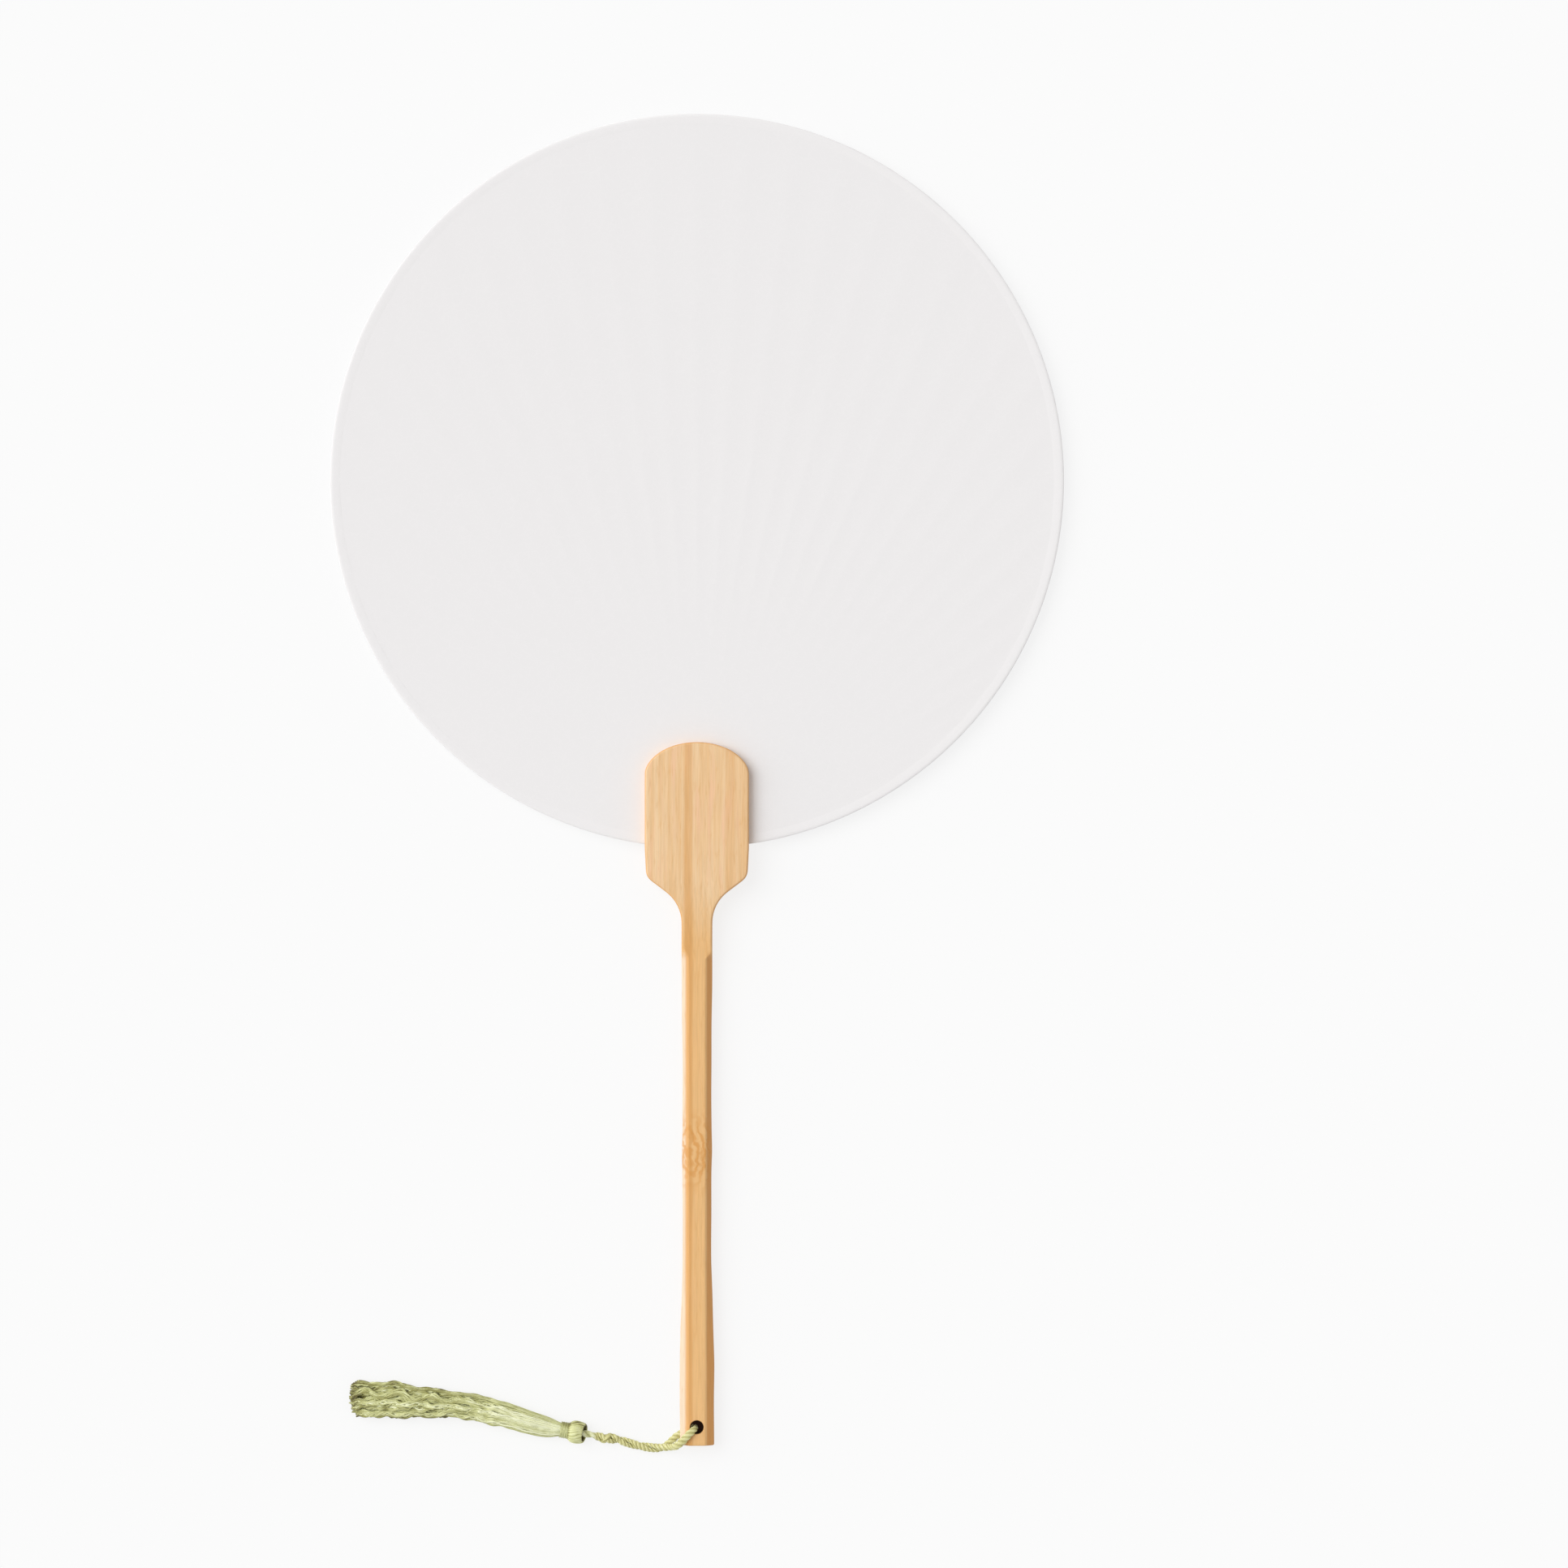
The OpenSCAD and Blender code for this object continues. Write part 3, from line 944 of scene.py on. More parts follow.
@dataclass
class Cord:
    """One soft cord of three plies: twisted double, then looped through the handle.

    It leaves the knot, twists round its own other end, opens out over the front of the
    shaft, goes down the hole and comes back under the shaft.
    """

    ply_pitch: float = 5.2 * MM
    pair_pitch: float = 14 * MM
    pair_r: float = 0.75 * MM
    loop_half_w: float = 1.25 * MM
    loop_half_h: float = 0.7 * MM
    squeeze: float = 0.42 * MM
    pair_half_w: float = 1.05 * MM
    pair_half_h: float = 0.7 * MM
    length: float = 0.0625
    diameter: float = 1.6 * MM
    opening_rows: float = 4
    rise_rows: tuple[int, int] = (5, 8)
    hole_row: float = 12.5
    hole_rows: float = 2.5
    rings: int = 620
    sides: int = 42

    def loop(self) -> Array:
        """Route of the open loop, from the upper strand of the pair to its lower one.

        Returns:
            Points to lead a curve through.
        """
        return np.array([
            [-10.4, -6.8, -1.75], [-9.1, -6.8, -1.75], [-8.3, -6.6, -1.2], [-7.7, -6.4, -0.3],
            [-7.2, -6.2, 0.8], [-6.7, -6.0, 2.1], [-5.9, -5.4, 3], [-4.8, -4.5, 3.3],
            [-3.2, -2.9, 3.25], [-2.1, -1.7, 3.25], [-1.1, -0.85, 2.9], [-0.5, -0.38, 2.0],
            [-0.35, -0.25, 0.5], [-0.35, -0.25, -0.5], [-0.5, -0.35, -2.0], [-1.0, -0.65, -2.9],
            [-2.0, -1.2, -3.25], [-3.4, -1.9, -3.25], [-5.1, -2.7, -3.25], [-6.8, -3.7, -3.1],
            [-8.6, -5.5, -3.2], [-10.4, -6.8, -3.25],
        ]) * MM + HOLE

    def pair(self) -> Array:
        """Route of the middle of the doubled cord, from the loop to inside the knot.

        Returns:
            Points to lead a curve through.
        """
        return np.array([[-10.4, -6.8, -2.5], [-13, -7, -2.5], [-18, -6.3, -2.5],
                         [-23.6, -4.7, -2.5], [-25.1, -4.28, -2.3]]) * MM + HOLE

    def strands(self, middle: Array, start: float, pitch: float,
                radius: Array) -> tuple[Array, Array]:
        """Two strands that wind round a middle line.

        A strand is middle + radius * (cos(a) side + sin(a) up), with a rising by one turn
        per pitch; its wide side is square to that offset.

        Args:
            middle: points of the middle line.
            start: angle of the first strand at the first point, in radians.
            pitch: length of one turn.
            radius: distance from the middle line, at each point.

        Returns:
            The paths of the two strands and their side vectors, each (2, points, 3).
        """
        along = unit(np.gradient(middle, axis=0))
        side = unit(np.cross(UP, along))
        up = np.cross(along, side)
        angle = start + TURN * travelled(middle) / pitch
        angle = np.stack([angle, angle + np.pi])[..., None]
        off = np.cos(angle) * side + np.sin(angle) * up
        wide = -np.sin(angle) * side + np.cos(angle) * up
        return middle + radius[:, None] * off, wide

    def path(self) -> Array:
        """Joins the pair's two strands by the loop, all the way round.

        Inside the knot the strands taper, in the loop the cord opens out flat, and in
        the hole it is squeezed.

        Returns:
            Rows of centre, side vector, half width and half height, at even steps.
        """
        middle = spline(self.pair(), 64)
        tucked = 1 - 0.4 * ease(np.linspace(0, 1, len(middle)), 0.86, 1)[:, None]
        two, wide = self.strands(middle, np.pi / 2, self.pair_pitch, self.pair_r * tucked[:, 0])
        pair_size = np.array([self.pair_half_w, self.pair_half_h])
        loop_size = np.array([self.loop_half_w, self.loop_half_h])
        ends = [np.hstack([two[k], wide[k], pair_size * tucked]) for k in (0, 1)]

        loop = self.loop()
        row = np.arange(len(loop))
        opened = np.minimum(1, np.minimum(row, row[::-1]) / self.opening_rows)
        size = pair_size + opened[:, None] * (loop_size - pair_size)
        squeezed = np.exp(-(((row - self.hole_row) / self.hole_rows) ** 2))
        size[:, 0] -= self.squeeze * squeezed
        rise = unit(loop[self.rise_rows[1]] - loop[self.rise_rows[0]])
        across = unit(np.cross(rise * [1, 1, 0], UP))
        round_loop = np.hstack([loop, np.tile(across, (len(loop), 1)), size])
        rows = np.concatenate([ends[0][:0:-1], spline(round_loop, 260), ends[1][1:]])
        rows[:, 3:6] = steady(rows[:, 3:6])
        return soften(along_even(rows, self.rings), 8)

    def build(self) -> tuple[Piece, Array]:
        """Builds the cord's mesh.

        Returns:
            The piece, and the centre line that it follows.
        """
        rows = self.path()
        outline = plies(3, TURN * travelled(rows[:, :3]) / self.ply_pitch, self.sides)
        rings = on_table(rings_on(rows[:, :3], rows[:, 3:6], rows[:, 6], rows[:, 7], outline))
        # painted shade in the grooves between the plies and a painted highlight on their crests
        own = 0.34 + 0.46 * relative(outline)
        return tubes(rings[None], {"tone": own[None]}).write("plied_cord"), rows[:, :3]


@dataclass
class Knot:
    """Knot of the doubled cord: both strands swell and cross, and a turn grips them."""

    strand_r: float = 0.92 * MM
    strand_off: float = 0.8 * MM
    pitch: float = 9 * MM
    grip_r: float = 1.25 * MM
    grip_tuck: float = 0.75 * MM
    grip_half_w: float = 0.75 * MM
    grip_half_h: float = 0.5 * MM
    grip_turns: float = 1.25
    sides: int = 30
    rings: int = 130

    def route(self) -> Array:
        """Middle line of the knot.

        Returns:
            Points to lead a curve through.
        """
        return np.array([
            [-23.6, -4.7, -2.5], [-24.3, -4.5, -2.5], [-25.4, -4.2, -2.2], [-27, -4, -2.1],
            [-28.6, -3.8, -2.1], [-30.2, -3.5, -2.1], [-31.2, -3.2, -2], [-31.8, -3.1, -1.9],
        ]) * MM + HOLE

    def grip(self, cord: Cord) -> Array:
        """Turn of cord round the knot's middle, tucked in at both ends.

        Args:
            cord: the cord, for its plies.

        Returns:
            Its rings, of shape (rings, sides, 3).
        """
        share = np.linspace(0, 1, self.rings)
        core = spline(self.route()[2:6], self.rings)
        angle = -TURN * (self.grip_turns * share + 0.1)
        side = unit(np.cross(UP, unit(np.gradient(core, axis=0))))
        off = np.cos(angle)[:, None] * side + np.sin(angle)[:, None] * UP
        out = self.grip_r - self.grip_tuck * (1 - np.sin(np.pi * share)) ** 2
        path = core + out[:, None] * off
        return rings_on(path, np.cross(np.gradient(path, axis=0), off),
                        np.full(self.rings, self.grip_half_w),
                        np.full(self.rings, self.grip_half_h),
                        plies(3, TURN * travelled(path) / cord.ply_pitch, self.sides))

    def build(self, cord: Cord) -> Piece:
        """Builds the two crossing strands and the gripping turn as one piece.

        Args:
            cord: the cord that runs into the knot.

        Returns:
            The piece.
        """
        middle = spline(self.route(), self.rings)
        reach = travelled(middle)
        share = reach / reach[-1]
        swell = 0.72 + 0.28 * np.sin(np.pi * np.clip(share * 1.02, 0, 1)) ** 0.6
        run_in = travelled(spline(cord.pair()[:4], 60))[-1]
        start = np.pi / 2 + TURN * run_in / cord.pair_pitch
        off = self.strand_off * swell * (1 - 0.5 * share**6)
        two, wide = cord.strands(middle, start, self.pitch, off)
        outline = plies(3, TURN * reach / cord.ply_pitch, self.sides)
        half_w = np.tile(self.strand_r * 1.05 * swell, (2, 1))
        strands = rings_on(two, wide, half_w, half_w * 0.86, np.stack([outline] * 2))
        rings = on_table(np.concatenate([strands, self.grip(cord)[None]]))
        # painted shade in the grooves between the plies and a painted highlight on their crests
        own = 0.25 + 0.5 * relative(np.stack([outline] * 3))
        return tubes(rings, {"tone": own}).write("crossed_knot")


# ---------------------------------------------------------------- tassel


@dataclass
class Tassel:
    """Yarn bundle: bare neck, folded head with a hollow mouth, winding and cut skirt."""

    head_at: tuple[float, float, float] = (-34.8 * MM, -2.35 * MM, -0.9 * MM)
    turn: float = np.radians(170)
    head_l: float = 4.9 * MM
    head_r: float = 3.1 * MM
    lip_slant: float = 0.9 * MM
    folds: int = 12
    tie_r: float = 1.95 * MM
    wrap_l: float = 2.4 * MM
    wrap_turns: int = 11
    neck_r: float = 1.1 * MM
    spread: float = 1.14
    yarns: int = 168
    locks: int = 17
    rings: int = 96
    sides: int = 6
    seed: int = 11

    def axis(self) -> Array:
        """Direction of the head, from its mouth on."""
        return np.array([np.cos(self.turn), np.sin(self.turn), 0.0])

    def side(self) -> Array:
        """Level direction square to the head's axis."""
        return np.cross(UP, self.axis())

    def on_head(self, distance: float) -> Array:
        """Point on the head's axis, distance from its mouth."""
        return HOLE + np.array(self.head_at) + distance * self.axis()

    def about_head(self, place: Array, radius: Array, angle: Array) -> Array:
        """Points round the head's axis, the head being a little wider than high.

        A point is on_head(place) + spread * radius * cos(a) * side + radius * sin(a) * up.

        Args:
            place: distance along the axis, from the mouth.
            radius: distance from the axis.
            angle: angle a round it, in radians.

        Returns:
            The points, with one more axis than the arrays.
        """
        return (HOLE + np.array(self.head_at) + place[..., None] * self.axis()
                + (self.spread * radius * np.cos(angle))[..., None] * self.side()
                + (radius * np.sin(angle))[..., None] * UP)

    def neck(self) -> Piece:
        """Bare cord between the knot and the mouth: two plies, finely ridged.

        Returns:
            The piece.
        """
        rings, sides = 90, 48
        route = np.array([[-31.2, -3.2, -2.0], [-32.2, -2.9, -1.75], [-33.2, -2.7, -1.7],
                          [-34.2, -2.5, -1.4]]) * MM + HOLE
        path = spline(np.vstack([route, self.on_head(0.8 * MM), self.on_head(2.2 * MM)]), rings)
        reach = travelled(path)
        size = self.neck_r * (0.8 + 0.2 * ease(reach, 0, 1.2 * MM))
        outline = plies(2, TURN * reach / (7 * MM) + 0.6, sides, 0.7)
        outline = outline * (0.97 + 0.03 * plies(12, TURN * reach / (11 * MM), sides, 0.9))
        skin = rings_on(path, np.tile(self.side(), (rings, 1)), size, size * 0.95, outline)
        # painted shade in the grooves between the plies and a painted highlight on their crests
        own = 0.34 + 0.52 * relative(outline)
        return tubes(skin[None], {"tone": own[None]}).write("bare_neck")

    def head(self) -> Piece:
        """Folded top of the bundle.

        A profile of distance and radius turns about the axis, from inside the mouth over
        the lip to the tie, and its folded yarns ridge it: radius * (1 - depth *
        (1 - |cos(folds * b)|^0.6)), where b is the angle, a little warped.  The mouth is
        cut at a slant, so its upper lip stands back and the hollow shows from above.

        Returns:
            The piece.
        """
        rings, sides = 90, 156
        profile = np.array([
            [2.2, 0.05], [2.2, 1.0], [2.0, 1.7], [1.4, 1.95], [0.5, 2.05], [0.05, 2.2],
            [-0.1, 2.45], [0.2, 2.72], [0.9, 2.92], [1.7, 3.05], [2.6, 3.1], [3.5, 3.0],
            [4.1, 2.78], [4.6, 2.45], [4.9, 2.2], [5.1, 1.9], [5.2, 0.05],
        ]) * MM
        rows = spline(np.hstack([profile, np.zeros((len(profile), 1))]), rings)
        along, radius = rows[:, 0:1], rows[:, 1:2]
        inside = ease(np.arange(rings)[:, None], 34, 24)
        angle = np.linspace(0, TURN, sides, endpoint=False)[None]
        twist = 0.35 * along / self.head_l
        warped = angle + twist + 0.11 * np.sin(3 * angle + 0.4) + 0.07 * np.sin(5 * angle + 2)
        ridge = np.abs(np.cos(self.folds * warped)) ** 0.6
        uneven = 0.5 + 0.5 * np.sin(3 * angle + 1.1) * np.sin(7 * angle)
        depth = 0.075 * ease(radius, 1.2 * MM, 2.2 * MM) * (0.6 + 0.5 * uneven)
        slant = (self.lip_slant * ease(along, 3.4 * MM, 0.4 * MM) * np.sin(angle)
                 * radius / self.head_r)
        points = on_table(self.about_head(along + slant, radius * (1 - depth * (1 - ridge)), angle))
        # painted shade in the fold grooves, inside the mouth, in the groove at the tie and on the
        # upper (+Y) side; painted highlight on the fold crests
        own = (0.27 + 0.49 * ridge) * (1 - inside) - 0.25 * inside
        own = own - 0.35 * ease(along, 4.2 * MM, 5 * MM) - 0.3 * ease(-np.cos(angle), 0.5, 0.95)
        # The rings turn to the left seen along the axis, so their order is reversed.
        return tubes(points[None, :, ::-1], {"tone": own[None, :, ::-1]}).write("folded_head")

    def winding(self) -> Piece:
        """Thread wound round the bundle below the head, in close turns.

        Returns:
            The piece.
        """
        per_turn, sides = 26, 9
        share = np.linspace(0, 1, self.wrap_turns * per_turn)
        angle = TURN * self.wrap_turns * share
        thread = np.full(len(share), self.wrap_l / self.wrap_turns * 0.62)
        radius = (self.tie_r + 0.12 * MM) * (1 + 0.03 * np.sin(2.3 * angle))
        path = self.about_head(self.head_l + 0.1 * MM + self.wrap_l * share, radius, angle)
        rings = rings_on(path, np.tile(self.axis(), (len(path), 1)), thread, thread,
                         np.ones((len(path), sides)))
        # painted shade on the upper (+Y) side of the turns; the small sine is the thread's own
        # uneven tone
        own = (0.66 - 0.3 * ease(-np.cos(angle), 0.1, 0.9) + 0.06 * np.sin(2.7 * angle))[None]
        return tubes(rings[None], {"tone": own}).write("waist_thread")

    def hull(self, count: int) -> Array:
        """Outer shape of the skirt, from inside the tie to its cut end.

        Args:
            count: number of rows.

        Returns:
            Rows of centre, half width and half height.
        """
        lying = np.array([
            [-46, -0.5, 6.3, 4.8], [-51, 0.8, 7.2, 5.4], [-57, 2.7, 7.8, 5.6],
            [-65, 4.8, 8.8, 5.6], [-74, 6.5, 8.9, 5.4], [-83, 7.1, 10, 5.2],
            [-91, 7.7, 11.9, 5], [-99, 8.1, 12.9, 4.8], [-104, 8, 13.2, 4.6],
            [-107.3, 7.7, 12, 4.2],
        ]) * MM
        rest = np.stack([lying[:, 0], lying[:, 1] + HOLE[1], GROUND_Z + lying[:, 3] / 2,
                         lying[:, 2] / 2, lying[:, 3] / 2], axis=1)
        tie = self.tie_r - 0.1 * MM
        tied = [np.append(self.on_head(self.head_l + k), [self.spread * tie, tie])
                for k in (-1.2 * MM, 0, self.wrap_l)]
        return spline(np.vstack([tied, rest]), count)

    def skirt(self) -> Piece:
        """Loose cut yarns, drawn together into locks that wander and cross.

        Yarn j starts at its own place in a disc and is pulled towards its lock's middle
        as the bundle opens.  Locks and yarns wander as sums of sines.  The place is then
        scaled by the half sizes of the outer shape.

        Returns:
            The piece.
        """
        rng = np.random.default_rng(self.seed)
        spot = scattered(self.yarns)
        lock = 0.86 * scattered(self.locks, 0.7)
        own_lock = np.argmin(np.linalg.norm(spot[:, None] - lock[None], axis=2), axis=1)
        lock = lock[own_lock]
        t = self.trimmed(rng, spot)
        bed = ease(-spot[:, 1:], 0.15, 0.4)
        at = self.wandering(rng, spot, lock, own_lock, t, bed)

        hull = self.hull(400)
        shape = np.stack([np.interp(t, np.linspace(0, 1, len(hull)), column)
                          for column in hull.T], axis=-1)
        centre, half_w, half_h = shape[..., :3], shape[..., 3], shape[..., 4]
        thick = np.sqrt(0.95 / self.yarns / np.pi) * (0.86 + 0.28 * rng.random(self.yarns))
        radius = np.sqrt(np.pi * half_w * half_h) * thick[:, None]
        along = unit(np.gradient(centre, axis=1))
        side = unit(np.cross(UP, along))
        up = np.cross(along, side)
        path = (centre + at[..., :1] * (half_w - radius)[..., None] * side
                + at[..., 1:] * (half_h - radius)[..., None] * up)
        path[..., 2] = np.maximum(path[..., 2], GROUND_Z + radius * 0.9)
        size = radius * (1 - 0.45 * ease(np.linspace(0, 1, self.rings), 0.985, 1.0))
        outline = (1 + 0.07 * rng.standard_normal((self.yarns, 1, self.sides))
                   + np.zeros((1, self.rings, 1)))
        skin = on_table(rings_on(path, side, size, size * 0.92, outline))
        own = self.shades(rng, at, np.linalg.norm(spot - lock, axis=1), t, bed)
        return tubes(skin, {"tone": own}).write("yarn_skirt")

    def trimmed(self, rng: np.random.Generator, spot: Array) -> Array:
        """Shares of the skirt's length at each ring of each yarn, as the shears left them.

        Args:
            rng: source of chance.
            spot: the yarns' places in the disc.

        Returns:
            Shares of shape (yarns, rings), to 1 at most.
        """
        trim = 1 - 0.012 * rng.random(self.yarns)
        trim -= 0.03 * np.sum(spot**2, axis=1) * rng.random(self.yarns)
        trim -= 0.034 * np.abs(spot[:, 0]) ** 3
        return np.linspace(0, 1, self.rings)[None] * trim[:, None]

    def wandering(self, rng: np.random.Generator, spot: Array, lock: Array, own_lock: Array,
                  t: Array, bed: Array) -> Array:
        """Places of the yarns in the disc, all the way along.

        Args:
            rng: source of chance.
            spot: the yarns' first places.
            lock: the middle of each yarn's lock.
            own_lock: the number of each yarn's lock.
            t: shares of the length, (yarns, rings).
            bed: 1 for yarns that lie on the table, (yarns, 1).

        Returns:
            Places of shape (yarns, rings, 2), hardly out of the disc.
        """
        pull = (0.3 * ease(t, 0.12, 0.55) + 0.25 * ease(t, 0.7, 0.95)) * (1 - bed)
        at = spot[:, None] * (1 - pull[..., None]) + lock[:, None] * pull[..., None]
        lock_wave = self.waves(rng, self.locks, (5.0, 10.0), 3)[own_lock]
        yarn_wave = self.waves(rng, self.yarns, (9.0, 22.0), 3)
        at = at + 0.075 * ease(t, 0.1, 0.7)[..., None] * self.sampled(lock_wave, t)
        at = at + 0.05 * ease(t, 0.06, 0.5)[..., None] * self.sampled(yarn_wave, t)
        size = np.linalg.norm(at, axis=-1, keepdims=True)
        return at * np.where(size > 1.03, 1.03 / size, 1)

    def shades(self, rng: np.random.Generator, at: Array, off_lock: Array, t: Array,
               bed: Array) -> Array:
        """Tone along each yarn, mostly painted light: lighter on top and outside, with a painted
        highlight near the head, and painted shade inside the bundle, at the sides, between locks
        and under the yarns on the table; darker at the cut end; and a random tone per yarn.

        Args:
            rng: source of chance.
            at: places in the disc, (yarns, rings, 2).
            off_lock: each yarn's distance from its lock's middle.
            t: shares of the length, (yarns, rings).
            bed: 1 for yarns that lie on the table, (yarns, 1).

        Returns:
            Tones of shape (yarns, rings).
        """
        across = at[..., 0]
        high = np.clip(at[..., 1] * 0.5 + 0.5, 0, 1)
        out = np.clip(np.linalg.norm(at, axis=-1), 0, 1)
        valley = ease(off_lock, 0.13, 0.24)[:, None] * ease(t, 0.25, 0.6)
        # painted light: lighter on top and on the outside of the bundle, painted shade inside it
        own = 0.53 + 0.4 * (0.35 + 0.65 * high) * out
        # random tone per yarn, the yarn's own
        own = own + 0.42 * (rng.random(self.yarns)[:, None] - 0.5)
        # painted highlight on the top near the head
        own = own + 0.26 * np.exp(-(((across + 0.15) / 0.45) ** 2)) * ease(t, 0.5, 0.12)
        # painted shade at both sides of the skirt
        own = own - 0.3 * ease(np.abs(across), 0.72, 1.0)
        # darker at the cut end; painted shade between locks and under the yarns that lie on the
        # table
        return own - 0.34 * ease(t, 0.9, 1.0) - 0.36 * valley - 0.12 * bed * ease(t, 0.6, 0.9)

    def waves(self, rng: np.random.Generator, count: int, turns: tuple[float, float],
              parts: int) -> Array:
        """Random sines for a number of strands, for each of two axes.

        Args:
            rng: source of chance.
            count: number of strands.
            turns: least and greatest number of turns over the length.
            parts: number of sines that add up.

        Returns:
            Turns, phase and height, of shape (count, 2, parts, 3).
        """
        shape = (count, 2, parts)
        return np.stack([rng.uniform(*turns, shape), rng.uniform(0, TURN, shape),
                         rng.normal(0, 1, shape) / np.sqrt(parts)], axis=-1)

    def sampled(self, waves: Array, t: Array) -> Array:
        """Adds up those sines: height * sin(turn * turns * t + phase).

        Args:
            waves: turns, phase and height, of shape (strands, 2, parts, 3).
            t: shares of the length, (strands, rings).

        Returns:
            Offsets of shape (strands, rings, 2).
        """
        turns, phase, height = (waves[..., k][:, None] for k in range(3))
        return np.sum(height * np.sin(TURN * turns * t[..., None, None] + phase), axis=-1)


# ---------------------------------------------------------------- leaf


@dataclass
class Leaf:
    """Two sheets of paper on the ribs, and the strip folded round the rim."""

    centre_y: float = 92 * MM
    paper_r: float = 112.8 * MM
    face_z: float = 0.45 * MM
    paper_t: float = 0.2 * MM
    sag: float = 0.05 * MM
    rib_pitch: float = np.radians(4)
    rib_fan: float = np.radians(76)
    strip_t: float = 0.12 * MM
    strip_waver: float = 0.16 * MM
    pleat_h: float = 0.012 * MM
    gate_half: float = 16.03 * MM

    def paper(self, face: int) -> Piece:
        """One sheet, stretched from rib to rib.

        The ribs fan out from the lowest point of the circle, so the sheet is a grid in
        the angle a from that point and the share of the reach 2 R cos(a).  Between two
        ribs it dips by sag * |sin(pi a / pitch)|^0.8, less where the ribs are close
        together and none at the rim.

        Args:
            face: 1 for the front sheet, -1 for the rear one.

        Returns:
            The piece.
        """
        columns, rows = 561, 46
        angle = np.radians(np.linspace(-89.6, 89.6, columns))[None]
        share = (np.linspace(0.004, 1, rows) ** 0.8)[:, None]
        reach = 2 * self.paper_r * np.cos(angle) * share
        gap = ease(reach * self.rib_pitch, 1.2 * MM, 9 * MM)
        held = ease(share, 1.0, 0.93) * ease(np.abs(angle), self.rib_fan + 0.05, self.rib_fan)
        dip = self.sag * gap * held * np.abs(np.sin(np.pi * angle / self.rib_pitch)) ** 0.8
        points = np.stack([reach * np.sin(angle),
                           self.centre_y - self.paper_r + reach * np.cos(angle),
                           face * (self.face_z - dip)], axis=-1)
        name = "front_paper_sheet" if face > 0 else "rear_paper_sheet"
        piece = sheet(points if face > 0 else points[:, ::-1]).write(name)
        return thickened(piece, self.paper_t)

    def edging(self) -> Piece:
        """Strip folded over the rim, from one side of the paddle round to the other.

        The grid runs across the strip, over the fold, and round the rim.  Small pleats
        take up its spare length at the inner edge, which wavers as a hand-cut one does.

        Returns:
            The piece.
        """
        profile = np.array([
            [110.0, 0.452], [110.5, 0.48], [111.3, 0.51], [112.1, 0.53], [112.6, 0.52],
            [112.9, 0.4], [113.0, 0.15], [113.0, -0.15], [112.9, -0.4], [112.6, -0.52],
            [112.1, -0.53], [111.3, -0.51], [110.5, -0.48], [110.0, -0.452],
        ]) * MM
        columns = 1501
        radius, height = profile[:, :1], profile[:, 1:]
        share = np.linspace(0, 1, columns)[None]
        gate = np.arcsin(self.gate_half / radius)
        angle = gate + (TURN - 2 * gate) * share
        waver = sum(np.sin(turns * TURN * share + phase) / part for turns, phase, part in
                    ((7, 0.4, 3.0), (17, 2.1, 5.0), (43, 1.3, 8.0), (97, 4.0, 12.0)))
        pleat = np.abs(np.sin(140 * np.pi * share + 2 * np.sin(9 * np.pi * share))) ** 6
        radius = radius + self.strip_waver * waver * ease(radius, 112 * MM, 110 * MM)
        raised = np.sign(height) * self.pleat_h * pleat * ease(radius, 112.4 * MM, 111 * MM)
        points = np.stack([radius * np.sin(angle), self.centre_y - radius * np.cos(angle),
                           height + raised], axis=-1)
        return thickened(sheet(points[:, ::-1]).write("rim_edging_strip"), self.strip_t)


# ---------------------------------------------------------------- handle


